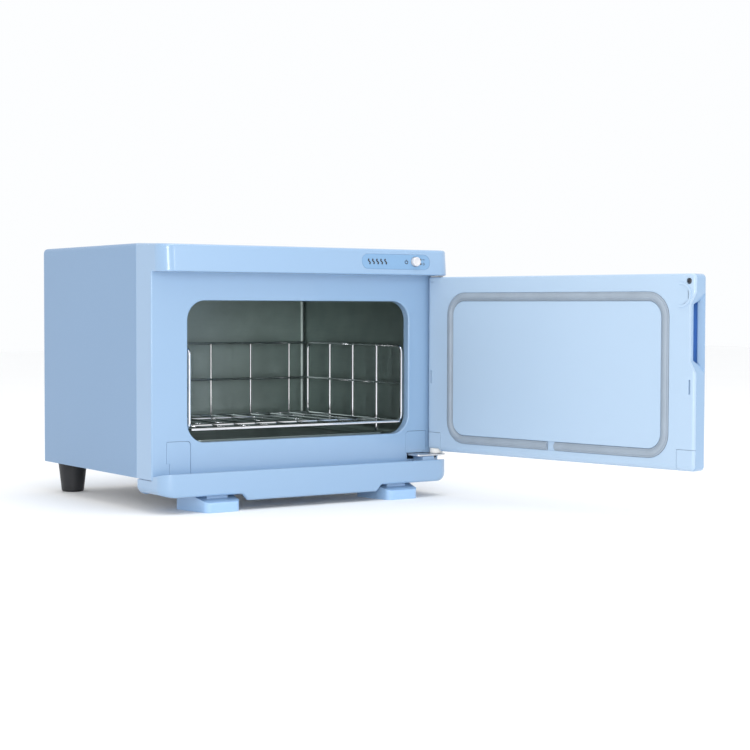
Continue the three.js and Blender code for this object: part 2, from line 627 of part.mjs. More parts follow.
function doorLiner() {
  const { half, back, top } = DOOR;
  const sheet = blank.intersect(box(-HALF, HALF, back - LINER, back + 1, DOOR.bottom - 1, top + 1));
  const prySlits = [-1, 1].map((side) => box(
    side * PRY_SLIT.x - PRY_SLIT.half, side * PRY_SLIT.x + PRY_SLIT.half,
    back - PRY_SLIT.deep, back + 1, PRY_SLIT.low, PRY_SLIT.high));
  const cornerSlit = box(half - CORNER_SLIT.length, half + 1, back - CORNER_SLIT.deep, back + 1,
    top - CORNER_SLIT.drop, top - CORNER_SLIT.drop + CORNER_SLIT.width);
  const screwSink = onLinerScrew(back - 2, back + 1, LINER_SCREW.sink, 16);
  const screwHole = onLinerScrew(back - 5, back + 1, LINER_SCREW.hole);
  return cut(sheet, capBox(-1, 0), capBox(1, 0), ...prySlits, cornerSlit, screwSink, screwHole,
    upperBushHole, lowerBushHole);
}

function doorGasket() {
  const { width, height, radius, strip, drain } = GASKET;
  const ring = (margin) => rectangle(-width / 2 + margin, width / 2 - margin,
    WINDOW.z - height / 2 + margin, WINDOW.z + height / 2 - margin, radius - margin);
  const low = DOOR.back + GAP;
  const high = RECESS - GAP;
  return cut(frontPrism(ring(0), low, high, 8), frontPrism(ring(strip), low - 1, high + 1, 8),
    box(-drain / 2, drain / 2, low - 1, high + 1, 0, WINDOW.z));
}

function doorInsulation() {
  const { left, right, front, bottom, top } = DOOR_CAVITY;
  return box(left + 1, right - 1, front + GAP, SEAM - 1, bottom + 1, top - 1);
}

function linerScrew() {
  const face = DOOR.back - 0.2;
  const { shank, head, length } = LINER_SCREW;
  const stem = onLinerScrew(DOOR.back - length, face - 1.3, shank);
  return join(stem, onLinerScrew(face - 1.5, face, head, 14));
}

// flanged nylon bush; its flange faces up or down the hinge axis
function hingeBush(flangeLow, flangeHigh, farEnd) {
  const near = farEnd > flangeHigh ? flangeHigh : flangeLow;
  const sleeve = onHinge(Math.min(near, farEnd), Math.max(near, farEnd), BUSH.radius);
  const flange = onHinge(flangeLow, flangeHigh, BUSH.flange);
  return cut(join(sleeve, flange), onHinge(0, CASE_TOP, PIN_RADIUS + GAP));
}

swinging('door_shell', doorShell(), blueMoulding);
swinging('door_liner', doorLiner(), blueMoulding);
for (const [name, side] of SIDES) {
  const cap = cut(blank.intersect(capBox(side, GAP)), lowerBushHole);
  swinging(`door_corner_cap_${name}`, cap, blueMoulding);
}
swinging('door_gasket', doorGasket(), greySilicone);
swinging('door_insulation', doorInsulation(), foam);
swinging('door_strike_plate', onStrike(SEAM - STRIKE.thick, SEAM, STRIKE.radius), steel);
swinging('liner_screw', linerScrew(), steel);
swinging('upper_hinge_bush',
  hingeBush(DOOR.top + GAP, HEADER_BOTTOM - GAP, DOOR.top - BUSH.length), whiteNylon);
swinging('lower_hinge_bush',
  hingeBush(PLATE.low + PLATE.thick + GAP, NOTCH_TOP - GAP, NOTCH_TOP + BUSH.length), whiteNylon);

door.position.set(HINGE.x, HINGE.y, 0);
door.rotation.z = THREE.MathUtils.degToRad(OPEN_ANGLE);
cabinet.add(door);

// ---------------------------------------------------------------- hinge pins, bracket and catch
fixed('upper_hinge_pin', onHinge(DOOR.top - BUSH.length, HEADER_BOTTOM + 5, PIN_RADIUS), steel);
fixed('lower_hinge_pin', onHinge(PLATE.low - 1, NOTCH_TOP + BUSH.length - 1, PIN_RADIUS), steel);

function hingeBracket() {
  const { low, thick, left, right, front, step, shoulder, rise } = PLATE;
  const back = RECESS + WALL + GAP;
  const tongue = planPrism(outline([
    [left, front, 3], [right, front, 8], [right, step, 4], [shoulder, step],
    [shoulder, back + thick], [left, back + thick],
  ]), low, low + thick, 4);
  const upright = box(left, shoulder, back, back + thick, low, low + thick + rise);
  return cut(join(tongue, upright), onHinge(low - 1, low + thick + 1, PIN_RADIUS + GAP));
}
fixed('lower_hinge_bracket', hingeBracket(), steel);
fixed('catch_magnet', onStrike(RECESS + WALL + GAP, RECESS + WALL + 6, STRIKE.radius), steel);

// ---------------------------------------------------------------- origin
// the middle of the footprint, on the counter
cabinet.updateMatrixWorld(true);
const extent = new THREE.Box3().setFromObject(cabinet, true);
const middle = extent.getCenter(new THREE.Vector3());
cabinet.position.set(-middle.x, -middle.y, -extent.min.z);

export default cabinet;
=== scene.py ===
# Hot towel cabinet: the looks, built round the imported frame.
#
# Pieces are drawn in millimetres with the door shut, from the middle of the cabinet (X), the foremost
# edge of the front frame (Y) and the counter (Z). settle() takes a finished piece to its place.
import json
from math import atan2, cos, pi, radians, sin, sqrt, tan, tau
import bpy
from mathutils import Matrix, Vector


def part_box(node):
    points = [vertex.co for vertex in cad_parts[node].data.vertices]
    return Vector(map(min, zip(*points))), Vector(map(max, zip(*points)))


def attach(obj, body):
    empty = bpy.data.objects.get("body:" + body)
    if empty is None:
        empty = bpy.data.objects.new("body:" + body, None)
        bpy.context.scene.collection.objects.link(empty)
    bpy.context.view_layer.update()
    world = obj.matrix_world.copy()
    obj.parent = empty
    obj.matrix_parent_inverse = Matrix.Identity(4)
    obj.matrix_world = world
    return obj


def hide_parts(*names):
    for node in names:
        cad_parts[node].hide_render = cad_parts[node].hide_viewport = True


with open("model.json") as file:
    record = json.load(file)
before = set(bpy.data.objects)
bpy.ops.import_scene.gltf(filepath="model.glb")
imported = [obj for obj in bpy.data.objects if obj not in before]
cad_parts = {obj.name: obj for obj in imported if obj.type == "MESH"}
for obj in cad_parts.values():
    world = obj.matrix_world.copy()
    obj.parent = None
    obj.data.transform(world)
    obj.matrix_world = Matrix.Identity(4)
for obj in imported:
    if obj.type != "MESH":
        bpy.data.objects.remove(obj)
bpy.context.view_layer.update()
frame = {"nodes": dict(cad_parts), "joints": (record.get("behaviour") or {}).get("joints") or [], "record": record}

from types import SimpleNamespace as Sizes

import bmesh
import bpy
from mathutils import Matrix, Vector

# ---- places, from the frame
MM = 0.001
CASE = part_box("outer_case")
ORIGIN = Vector(((CASE[0].x + CASE[1].x) / 2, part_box("front_frame")[0].y, 0))
DOOR_JOINT = next(j for j in frame["joints"] if j["name"] == "door_hinge")
OPEN_ANGLE = radians(-DOOR_JOINT["range_deg"][0])
HINGE = (Vector(DOOR_JOINT["pos_m"]) - ORIGIN) / MM
HINGE.z = 0

TO_ROW = Matrix.Translation(ORIGIN) @ Matrix.Scale(MM, 4)
SWING = Matrix.Translation(HINGE) @ Matrix.Rotation(OPEN_ANGLE, 4, "Z") @ Matrix.Translation(-HINGE)
BODY_PLACE = {"cabinet": TO_ROW, "button": TO_ROW, "door": TO_ROW @ SWING}
BODY_OF = {n: body for body, nodes in frame["record"]["behaviour"]["bodies"].items() for n in nodes}


def span(node):
    """Lowest and highest corner of a CAD node in millimetres, with the door shut."""
    back = BODY_PLACE[BODY_OF[node]].inverted()
    points = [back @ v.co for v in frame["nodes"][node].data.vertices]
    return [Vector([pick(p[i] for p in points) for i in range(3)]) for pick in (min, max)]


def centre_of(node):
    """The middle of a CAD node's box, measured the same way."""
    return [(low + high) / 2 for low, high in zip(*span(node))]


HALF = span("outer_case")[1].x
TOP = span("front_frame")[1].z
SILL_LOW = span("front_frame")[0].z
FRAME_BACK = span("front_frame")[1].y
CASE_LOW, CASE_HIGH = span("outer_case")
RECESS = span("hinge_cover_left")[0].y
DOOR_LOW = span("door_shell")[0]
DOOR_HIGH = Vector(map(max, span("door_shell")[1], span("door_liner")[1]))
LABEL_LOW, LABEL_HIGH = span("control_label")
BUTTON_LOW, BUTTON_HIGH = span("power_button")
BUTTON = (BUTTON_LOW + BUTTON_HIGH) / 2

# ---- shapes the frame holds no box for
SIDES = {"left": -1, "right": 1}
GAP = 0.3  # between neighbouring pieces
WALL = 3  # of the moulded front frame
HEADER_BOTTOM = 238.9
HEADER = Sizes(lean=2.4, fall=2, top_edge=2.5, low_edge=1.5)
SILL_TOP = 39.8
GUTTER = 36.3  # floor of the drain in the sill
SILL_BOTTOM = 16.4
SILL = Sizes(apron=78.5, slope=6, end=9, low_edge=2.6, lip_edge=1.4, lip=3)
PLAN_RADIUS = 15  # upright corners of the header and the sill
WINDOW = Sizes(half=134.5, low=68.2, high=210.8, radius=20, back=33, rim=1.6)
POCKET = Sizes(near=131.3, far=158.6, top=70.3, notch=48.3, step=3.4)
LABEL_DEPTH = 0.55
BUTTON_BORE = 5.3  # radius of the hole for the button

PIN_BORE = 2.8  # radius of the holes for the hinge pins
PLATE_SHEET = 2
PLATE_TOP = span("lower_hinge_bush")[0].z - GAP
PLATE_LOW = PLATE_TOP - PLATE_SHEET
PLATE_SLOT = Sizes(near=133, far=172.5)  # opening in the recess face for the plate
BOSS = Sizes(near=141, far=156.5, front=4.5)  # block on the sill that carries the plate

LINER_FRONT = DOOR_HIGH.y - 3.5  # where the liner meets the shell
EDGES = {"free": (4.1, 2.6), "hinge": (12, 5), "low": (3, 7), "top": (3, 1.6)}  # front, back radius
SCOOP = Sizes(depth=6, low=153.5, high=208, spread=11.5, lip=2.9)
SLOT = Sizes(near=6, far=14, near_low=149, near_high=212.5, far_low=154.5, far_high=208)
HOLLOW = Sizes(mouth=8.2, end=19, near=3.2, low=145, high=216)  # behind the slot
NOTCH = Sizes(along=17, rise=3.6)  # room under the door for the hinge plate
CAP_WIDTH = 22
BUSH = Sizes(hole=4.8, depth=10.3, sleeve=4.5)
FLANGES = {"lower": DOOR_LOW.z + NOTCH.rise - GAP - PLATE_TOP - GAP,
           "upper": HEADER_BOTTOM - DOOR_HIGH.z - 2 * GAP}
GASKET = Sizes(radius=24, width=8.4, fit=0.4, drain=9.5)
SLIT = Sizes(place=167.5, half=1, depth=2.4, low=122, high=136)  # to pry the liner off
RING = Sizes(radius=12, width=2.2, rise=1.1)  # mark round the strike plate

SHEET = 0.8  # of the case and the chamber
VENTS = Sizes(count=9, pitch=12, half=2, low=52, high=74, shift=2)


# ---- mesh helpers
def rounded(corners, steps=8):
    """Corners are (x, y) or (x, y, radius); gives the outline's points with its corners as arcs."""
    points = []
    for i, corner in enumerate(corners):
        here = Vector(corner[:2])
        radius = corner[2] if len(corner) > 2 else 0
        if not radius:
            points.append(here)
            continue
        before = (Vector(corners[i - 1][:2]) - here).normalized()
        after = (Vector(corners[(i + 1) % len(corners)][:2]) - here).normalized()
        half = before.angle(after) / 2
        centre = here + (before + after).normalized() * radius / sin(half)
        start = here + before * radius / tan(half) - centre
        end = here + after * radius / tan(half) - centre
        turn = atan2(start.x * end.y - start.y * end.x, start.dot(end))
        for k in range(steps + 1):
            angle = turn * k / steps
            points.append(centre + Matrix.Rotation(angle, 2) @ start)
    return points


def rectangle(x0, x1, y0, y1, radius=0, steps=8):
    return rounded([(x0, y0, radius), (x1, y0, radius), (x1, y1, radius), (x0, y1, radius)], steps)


def ring_mark(x, z, radius, width, start, turn):
    """A flat arc, as (x, z) points."""
    steps = 32
    angles = [start + turn * k / steps for k in range(steps + 1)]
    outer = [(x + radius * cos(a), z + radius * sin(a)) for a in angles]
    radius -= width
    return outer + [(x + radius * cos(a), z + radius * sin(a)) for a in reversed(angles)]


def stroke_mark(points, width):
    """A flat stroke of even width along (x, z) points."""
    line = [Vector(p) for p in points]
    left, right = [], []
    for i, p in enumerate(line):
        run = (line[min(i + 1, len(line) - 1)] - line[max(i - 1, 0)]).normalized()
        normal = Vector((-run.y, run.x)) * width / 2
        left.append(p + normal)
        right.append(p - normal)
    return left + right[::-1]


def add_object(name, data):
    obj = bpy.data.objects.new(name, data)
    bpy.context.scene.collection.objects.link(obj)
    return obj


def link(bm, name="tool"):
    """Makes an object of a finished bmesh."""
    bmesh.ops.recalc_face_normals(bm, faces=bm.faces)
    mesh = bpy.data.meshes.new(name)
    bm.to_mesh(mesh)
    bm.free()
    return add_object(name, mesh)


AXES = {"x": lambda u, v, h: (h, u, v), "y": lambda u, v, h: (u, h, v), "z": lambda u, v, h: (u, v, h)}


def prism(points, low, high, axis="y", name="tool"):
    """An outline carried along an axis: (y, z) along x, (x, z) along y, (x, y) along z."""
    return prisms([points], low, high, axis, name)


def prisms(outlines, low, high, axis="y", name="tool"):
    """Several outlines carried the same way, as one mesh."""
    bm = bmesh.new()
    place = AXES[axis]
    for points in outlines:
        ends = [[bm.verts.new(place(u, v, h)) for u, v in points] for h in (low, high)]
        for ring in ends:
            bm.faces.new(ring)
        for i in range(len(points)):
            bm.faces.new((ends[0][i - 1], ends[0][i], ends[1][i], ends[1][i - 1]))
    return link(bm, name)


def block(x0, x1, y0, y1, z0, z1):
    return prism([(x0, y0), (x1, y0), (x1, y1), (x0, y1)], z0, z1, "z")


def loft(rings):
    """Skins a row of closed rings of 3-D points and caps both ends."""
    bm = bmesh.new()
    made = [[bm.verts.new(p) for p in ring] for ring in rings]
    for a, b in zip(made, made[1:]):
        for i in range(len(a)):
            bm.faces.new((a[i - 1], a[i], b[i], b[i - 1]))
    bm.faces.new(made[0])
    bm.faces.new(made[-1])
    return link(bm)


def quarter(radius, steps=5):
    """(inset, depth) of a rounded edge, from its start on the outer face to its end on the side."""
    turns = [pi / 2 * k / steps for k in range(steps + 1)]
    return [(radius * (1 - sin(t)), radius * (1 - cos(t))) for t in turns]


def at_depth(y, outline):
    """An outline in X and Z as a ring of points at a depth."""
    return [(p.x, y, p.y) for p in outline]


def edge_in(radius, start, steps=5):
    """(inset, place) pairs round the edge from a body's first face to its side."""
    return [(inset, start + depth) for inset, depth in quarter(radius, steps)]


def edge_out(radius, end, steps=5):
    """(inset, place) pairs round the edge from a body's side to its last face."""
    return [(inset, end - depth) for inset, depth in reversed(quarter(radius, steps))]


def lathe(profile, centre, axis="z", steps=40):
    """A profile of (radius, height) turned about a line through centre; a radius of 0 closes it."""
    bm = bmesh.new()
    turn = {"y": Matrix.Rotation(-pi / 2, 3, "X"), "z": Matrix.Identity(3)}[axis]
    rings = []
    for radius, height in profile:
        count = steps if radius else 1
        rings.append([bm.verts.new(Vector(centre) + turn @ Vector((
            radius * cos(tau * k / steps), radius * sin(tau * k / steps), height)))
            for k in range(count)])
    for lower, upper in zip(rings, rings[1:]):
        for k in range(steps):
            ring = [lower[k % len(lower)], lower[(k + 1) % len(lower)],
                    upper[(k + 1) % len(upper)], upper[k % len(upper)]]
            bm.faces.new(list(dict.fromkeys(ring)))
    return link(bm)


def rod(start, end, radius, steps=24):
    """A plain round bar between two points, used for joining and cutting."""
    start, end = Vector(start), Vector(end)
    turn = (end - start).to_track_quat("Z", "Y").to_matrix()
    angles = [tau * (k + 0.37) / steps for k in range(steps)]
    ring = [turn @ Vector((radius * cos(a), radius * sin(a), 0)) for a in angles]
    return loft([[start + p for p in ring], [end + p for p in ring]])


def evaluated(obj):
    return obj.evaluated_get(bpy.context.evaluated_depsgraph_get())


def bake(obj):
    """Applies obj's modifiers."""
    mesh = bpy.data.meshes.new_from_object(evaluated(obj))
    old = obj.data
    obj.modifiers.clear()
    obj.data = mesh
    bpy.data.meshes.remove(old)
    return obj


def combine(body, operation, tools):
    """Applies each tool to body as an exact boolean, and removes the tool."""
    for tool in tools:
        modifier = body.modifiers.new("combine", "BOOLEAN")
        modifier.solver = "EXACT"
        modifier.operation = operation
        modifier.object = tool
        bake(body)
        bpy.data.objects.remove(tool)
    return body


def cut(body, *tools):
    return combine(body, "DIFFERENCE", tools)


def join(body, *tools):
    return combine(body, "UNION", tools)


def overlap(body, *tools):
    return combine(body, "INTERSECT", tools)


SHARP = radians(28)  # edges sharper than this are rounded
CHAIN = radians(150)  # edges that meet more openly than this follow one another
SHARE = 0.4  # of the space that a rounding may take


def room(edge, wanted):
    """The widest rounding, up to wanted, that the faces and edges round an edge have space for."""
    start, end = (v.co for v in edge.verts)
    along = (end - start).normalized()
    width = wanted
    for face in edge.link_faces:
        reach = max((v.co - start).cross(along).length for v in face.verts)
        width = min(width, SHARE * reach)
    for vert in edge.verts:
        outward = edge.other_vert(vert).co - vert.co
        for other in vert.link_edges:
            if other is edge or not set(other.link_faces) & set(edge.link_faces):
                continue
            direction = other.other_vert(vert).co - vert.co
            angle = outward.angle(direction)
            if angle < CHAIN:
                width = min(width, 0.42 * direction.length * sin(angle))
            elif angle < pi - 0.02:
                shortest = min(direction.length, outward.length)
                width = min(width, SHARE * shortest * tan(angle / 2))
    return width


def folded(mesh):
    """Boxes round faces that cross themselves, whose triangles add up to more than their area."""
    mesh.calc_loop_triangles()
    areas = [0.0] * len(mesh.polygons)
    for triangle in mesh.loop_triangles:
        areas[triangle.polygon_index] += triangle.area
    boxes = []
    for polygon in mesh.polygons:
        if areas[polygon.index] > 1.02 * polygon.area + 0.2:
            points = [mesh.vertices[v].co for v in polygon.vertices]
            boxes.append([[pick(p[i] for p in points) for i in range(3)] for pick in (min, max)])
    return boxes


def soften(obj, width, special=(), segments=3):
    """Rounds obj's sharp edges; special gives some of them another width, by a test of their middle."""
    bm = bmesh.new()
    bm.from_mesh(obj.data)
    bmesh.ops.remove_doubles(bm, verts=bm.verts, dist=1e-3)
    bmesh.ops.dissolve_limit(bm, angle_limit=radians(0.05), verts=bm.verts, edges=bm.edges)
    weight = bm.edges.layers.float.new("bevel_weight_edge")
    widest = max([width] + [w for _, w in special])
    for edge in bm.edges:
        if len(edge.link_faces) == 2 and edge.calc_face_angle() > SHARP:
            middle = (edge.verts[0].co + edge.verts[1].co) / 2
            wanted = next((w for test, w in special if test(middle)), width)
            edge[weight] = room(edge, wanted) / widest
    for face in bm.faces:
        face.smooth = True
    bm.to_mesh(obj.data)
    bm.free()
    modifier = obj.modifiers.new("soften", "BEVEL")
    modifier.limit_method = "WEIGHT"
    modifier.width = widest
    modifier.segments = segments
    modifier.use_clamp_overlap = False
    weights = obj.data.attributes["bevel_weight_edge"].data
    for attempt in range(7):  # narrow the roundings round a crossed face, and at last leave them out
        boxes = folded(evaluated(obj).data)
        if not boxes:
            break
        for edge in obj.data.edges:
            if not weights[edge.index].value:
                continue
            middle = sum((obj.data.vertices[v].co for v in edge.vertices), Vector()) / 2
            if any(all(lo[i] - 1 < middle[i] < hi[i] + 1 for i in range(3)) for lo, hi in boxes):
                weights[edge.index].value *= 0.5 if attempt < 4 else 0
        obj.data.update()
    return smooth(bake(obj), 40)


def smooth(obj, angle):
    """Smooth shading up to an angle, with the large faces kept flat."""
    obj.data.shade_smooth()
    obj.data.set_sharp_from_angle(angle=radians(angle))
    modifier = obj.modifiers.new("normals", "WEIGHTED_NORMAL")
    modifier.keep_sharp = True
    return bake(obj)


def wires(name, runs):
    """Round wires as one mesh: each run is (points, radius)."""
    curve = bpy.data.curves.new(name, "CURVE")
    curve.dimensions = "3D"
    curve.bevel_depth = 1
    curve.bevel_resolution = 2
    curve.use_fill_caps = True
    for points, radius in runs:
        spline = curve.splines.new("POLY")
        spline.points.add(len(points) - 1)
        for target, point in zip(spline.points, points):
            target.co = (*point, 1)
            target.radius = radius
    obj = add_object(name, curve)
    mesh = bpy.data.meshes.new_from_object(evaluated(obj))
    bpy.data.objects.remove(obj)
    return smooth(add_object(name, mesh), 40)


def settle(obj, name, material, *nodes, body="cabinet", finish=None):
    """Names a finished piece, puts it in its place on its body, and lets it stand for CAD nodes."""
    obj.name = obj.data.name = name
    obj.data.transform(BODY_PLACE[body])
    obj.data.materials.clear()
    obj.data.materials.append(MATERIALS[finish or material])
    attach(obj, body)
    if nodes:
        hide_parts(*nodes)
    return obj


# ---- materials
class Nodes:
    """Short names for building a material's node tree. Scales are per metre, depths in metres."""

    def __init__(self, name):
        self.material = bpy.data.materials.new(name)
        self.material.use_nodes = True
        self.tree = self.material.node_tree
        self.shader = self.tree.nodes["Principled BSDF"]
        self.place = self.add("ShaderNodeTexCoord").outputs["Object"]

    def add(self, kind, **values):
        node = self.tree.nodes.new(kind)
        for key, value in values.items():
            if hasattr(node, key):
                setattr(node, key, value)
            else:
                self.put(node.inputs[key.title()], value)
        return node

    def put(self, socket, value):
        if isinstance(value, bpy.types.NodeSocket):
            self.tree.links.new(value, socket)
        else:
            socket.default_value = value

    def shade(self, name, value):
        self.put(self.shader.inputs[name], value)

    def noise(self, scale, detail=3, roughness=0.5, stretch=(1, 1, 1)):
        mapping = self.add("ShaderNodeMapping")
        self.put(mapping.inputs["Vector"], self.place)
        self.put(mapping.inputs["Scale"], stretch)
        node = self.add("ShaderNodeTexNoise", scale=scale, detail=detail, roughness=roughness)
        self.put(node.inputs["Vector"], mapping.outputs["Vector"])
        return node.outputs["Fac"]

    def spread(self, value, low, high, start=0.3, end=0.7):
        node = self.add("ShaderNodeMapRange")
        self.put(node.inputs["Value"], value)
        for key, number in (("From Min", start), ("From Max", end), ("To Min", low), ("To Max", high)):
            self.put(node.inputs[key], number)
        return node.outputs["Result"]

    def mix(self, factor, first, second):
        node = self.add("ShaderNodeMix", data_type="RGBA")
        for index, value in ((0, factor), (6, first), (7, second)):
            color = isinstance(value, tuple) and len(value) == 3
            self.put(node.inputs[index], (*value, 1) if color else value)
        return node.outputs[2]

    def edges(self, radius):
        """1 on edges sharper than radius, 0 on flat stretches."""
        rounded_normal = self.add("ShaderNodeBevel", samples=4)
        self.put(rounded_normal.inputs["Radius"], radius)
        geometry = self.add("ShaderNodeNewGeometry")
        dot = self.add("ShaderNodeVectorMath", operation="DOT_PRODUCT")
        self.put(dot.inputs[0], rounded_normal.outputs["Normal"])
        self.put(dot.inputs[1], geometry.outputs["Normal"])
        return self.spread(dot.outputs["Value"], 1, 0, 0.75, 0.97)

    def bump(self, height, distance, strength=1.0):
        node = self.add("ShaderNodeBump")
        self.put(node.inputs["Height"], height)
        self.put(node.inputs["Distance"], distance)
        self.put(node.inputs["Strength"], strength)
        self.shade("Normal", node.outputs["Normal"])


def tint(color, by):
    return tuple(min(1, c * by) for c in color)


def moulded(name, color, roughness, grain=0.000005, coat=0.25, shade=0.05, wear_and_highlight=0.25):
    """Injection-moulded plastic: faint flow mottling, specks, fine skin, and paler edges that are partly wear and
    partly a painted edge highlight.
    """
    n = Nodes(name)
    flow = n.spread(n.noise(7, 2), 0, 1, 0.2, 0.8)
    base = n.mix(flow, tint(color, 1 - shade), tint(color, 1 + shade))
    speck = n.spread(n.noise(420, 2), 0, 1, 0.68, 0.8)
    base = n.mix(speck, base, tint(color, 0.985))
    # paler edges from noise: partly rubbed wear, partly a painted highlight along the edges
    rub_and_highlight = n.spread(n.noise(60, 3), 0, wear_and_highlight)
    worn_and_highlit = n.add("ShaderNodeMath", operation="MULTIPLY")
    n.put(worn_and_highlit.inputs[0], n.edges(0.0012))
    n.put(worn_and_highlit.inputs[1], rub_and_highlight)
    base = n.mix(worn_and_highlit.outputs[0], base, tint(color, 1.35))
    n.shade("Base Color", base)
    uneven = 0.003
    n.shade("Roughness", n.spread(n.noise(500, 2), roughness - uneven, roughness + uneven))
    n.shade("Coat Weight", coat)
    n.shade("Coat Roughness", 0.1)
    n.bump(n.noise(1500, 2), grain, 0.6)
    return n.material


def painted(name, color):
    """Powder-coated sheet steel: fine orange peel, slight cloudiness and specks."""
    n = Nodes(name)
    cloud = n.spread(n.noise(6, 2), 0, 1, 0.2, 0.8)
    base = n.mix(cloud, tint(color, 0.985), tint(color, 1.015))
    speck = n.spread(n.noise(260, 3), 0, 1, 0.7, 0.82)
    n.shade("Base Color", n.mix(speck, base, tint(color, 0.93)))
    n.shade("Roughness", n.spread(n.noise(400, 2), 0.41, 0.45))
    n.bump(n.noise(700, 3), 0.00006, 0.7)
    return n.material


def metal(name, color, roughness, brushed=(1, 1, 1), scale=300, depth=0.00002, spread=0.08):
    """Bare or plated metal with a fine grain, drawn out along one way where it is brushed."""
    n = Nodes(name)
    grain = n.noise(scale, 4, 0.6, brushed)
    n.shade("Base Color", n.mix(n.spread(n.noise(35, 4), 0, 1), tint(color, 0.92), tint(color, 1.05)))
    n.shade("Metallic", 1)
    n.shade("Roughness", n.spread(grain, roughness - spread, roughness + spread))
    n.bump(grain, depth, 0.5)
    return n.material


def rubber(name, color, roughness, grain=0.0001):
    """Rubber or silicone: matt, slightly uneven, with a fine skin."""
    n = Nodes(name)
    n.shade("Base Color", n.mix(n.spread(n.noise(50, 5), 0, 1), tint(color, 0.95), tint(color, 1.06)))
    n.shade("Roughness", n.spread(n.noise(90, 4), roughness - 0.08, roughness + 0.08))
    n.bump(n.noise(900, 3), grain, 0.6)
    return n.material


def foam(name, color):
    """Cut foam with open cells."""
    n = Nodes(name)
    cells = n.add("ShaderNodeTexVoronoi", scale=600)
    n.put(cells.inputs["Vector"], n.place)
    wall = cells.outputs["Distance"]
    n.shade("Base Color", n.mix(n.spread(wall, 0, 1, 0.1, 0.6), tint(color, 0.7), color))
    n.shade("Roughness", 0.95)
    n.bump(wall, 0.0005)
    return n.material


MATERIALS = {
    "blue_abs": moulded("blue_abs", (0.268, 0.412, 0.60), 0.28, coat=0.6, shade=0.01, wear_and_highlight=0.3),
    # door liner and corner caps: a satin finish, with a paler blue as painted sheen
    "door_satin_painted_sheen": moulded("door_satin_painted_sheen", (0.41, 0.54, 0.69), 0.42, coat=0.1, shade=0.008, wear_and_highlight=0.05),
    "case_paint": painted("case_paint", (0.205, 0.325, 0.495)),
    "label_film": moulded("label_film", (0.20, 0.36, 0.57), 0.42, grain=0.00002, coat=0, shade=0.03),
    # painted shade: a darkened copy of the steel for the recessed liner screw
    "screw_steel_painted_shade": metal("screw_steel_painted_shade", (0.09, 0.09, 0.10), 0.28),
    "zinc_steel": metal("zinc_steel", (0.62, 0.63, 0.65), 0.32),
    "chrome_wire": metal("chrome_wire", (0.83, 0.84, 0.86), 0.12, spread=0.05),
    "chamber_aluminium": metal("chamber_aluminium", (0.24, 0.285, 0.275), 0.4, brushed=(0.05, 0.05, 1),
                               scale=700, depth=0.000006, spread=0.05),
    "black_plastic": moulded("black_plastic", (0.02, 0.021, 0.024), 0.5, coat=0, shade=0.2),
    "foot_rubber": rubber("foot_rubber", (0.012, 0.013, 0.016), 0.5),
    "white_nylon": moulded("white_nylon", (0.82, 0.82, 0.80), 0.4, coat=0),
    "button_white": moulded("button_white", (0.66, 0.655, 0.68), 0.3, grain=0.00001),
    # painted light: a paler copy of blue_abs for the front pads, brightened against the shade under the sill
    "pad_painted_light": moulded("pad_painted_light", (0.33, 0.52, 0.78), 0.3, coat=0.5, shade=0.01, wear_and_highlight=0.08),
    # painted shade: a deeper blue for the walls of the handle slot
    "slot_painted_shade": moulded("slot_painted_shade", (0.10, 0.27, 0.66), 0.4, coat=0, shade=0.02, wear_and_highlight=0),
    "gasket_silicone": rubber("gasket_silicone", (0.29, 0.345, 0.41), 0.45, grain=0.00002),
    "insulation_foam": foam("insulation_foam", (0.78, 0.72, 0.58)),
    "heater_silicone": rubber("heater_silicone", (0.42, 0.10, 0.05), 0.6),
}


# ---- camera, light and floor
CAMERA = Sizes(place=(-0.97534, -1.48416, 0.20309), lens=82.51,
               sensor=36, yaw=34.1074, pitch=2.2125, roll=0.1561)


def make_camera():
    data = bpy.data.cameras.new("camera")
    data.lens = CAMERA.lens
    data.sensor_width = CAMERA.sensor
    data.clip_end = 50
    camera = add_object("camera", data)
    yaw, pitch, roll = (radians(turn) for turn in (CAMERA.yaw, CAMERA.pitch, CAMERA.roll))
    camera.matrix_world = (Matrix.Translation(CAMERA.place) @ Matrix.Rotation(-yaw, 4, "Z")
                           @ Matrix.Rotation(pi / 2 - pitch, 4, "X") @ Matrix.Rotation(roll, 4, "Z"))
    bpy.context.scene.camera = camera


def softbox(name, place, aim, width, height, watts):
    """A rectangular studio light, in metres, turned towards aim."""
    data = bpy.data.lights.new(name, "AREA")
    data.shape = "RECTANGLE"
    data.size, data.size_y = width, height
    data.energy = watts
    light = add_object(name, data)
    light.location = place
    light.rotation_euler = (Vector(aim) - Vector(place)).to_track_quat("-Z", "Y").to_euler()


def make_studio():
    scene = bpy.context.scene
    scene.view_settings.view_transform = "Standard"
    world = bpy.data.worlds.new("studio")
    scene.world = world
    world.use_nodes = True
    world.node_tree.nodes["Background"].inputs["Color"].default_value = (0.98, 0.99, 1.0, 1)
    middle = (0, 0, 0.14)
    softbox("key", (-1.21, -1.94, 0.52), middle, 0.5, 1.0, 16.4)
    softbox("strip", (0.75, -2.2, 0.75), (-0.2, 0, 0.2), 0.14, 0.5, 2.6)
    softbox("side", (-1.87, 0.92, 0.4), middle, 1.1, 0.8, 0.5)
    softbox("top", (0.1, -0.3, 1.9), middle, 1.4, 1.0, 11)
    floor = prism(rectangle(-6, 6, -6, 6), -0.02, 0, "z", "floor")
    n = Nodes("floor")
    n.shade("Base Color", n.mix(n.noise(3), (0.965, 0.965, 0.965), (0.985, 0.985, 0.985)))
    n.shade("Roughness", 0.7)
    floor.data.materials.append(n.material)


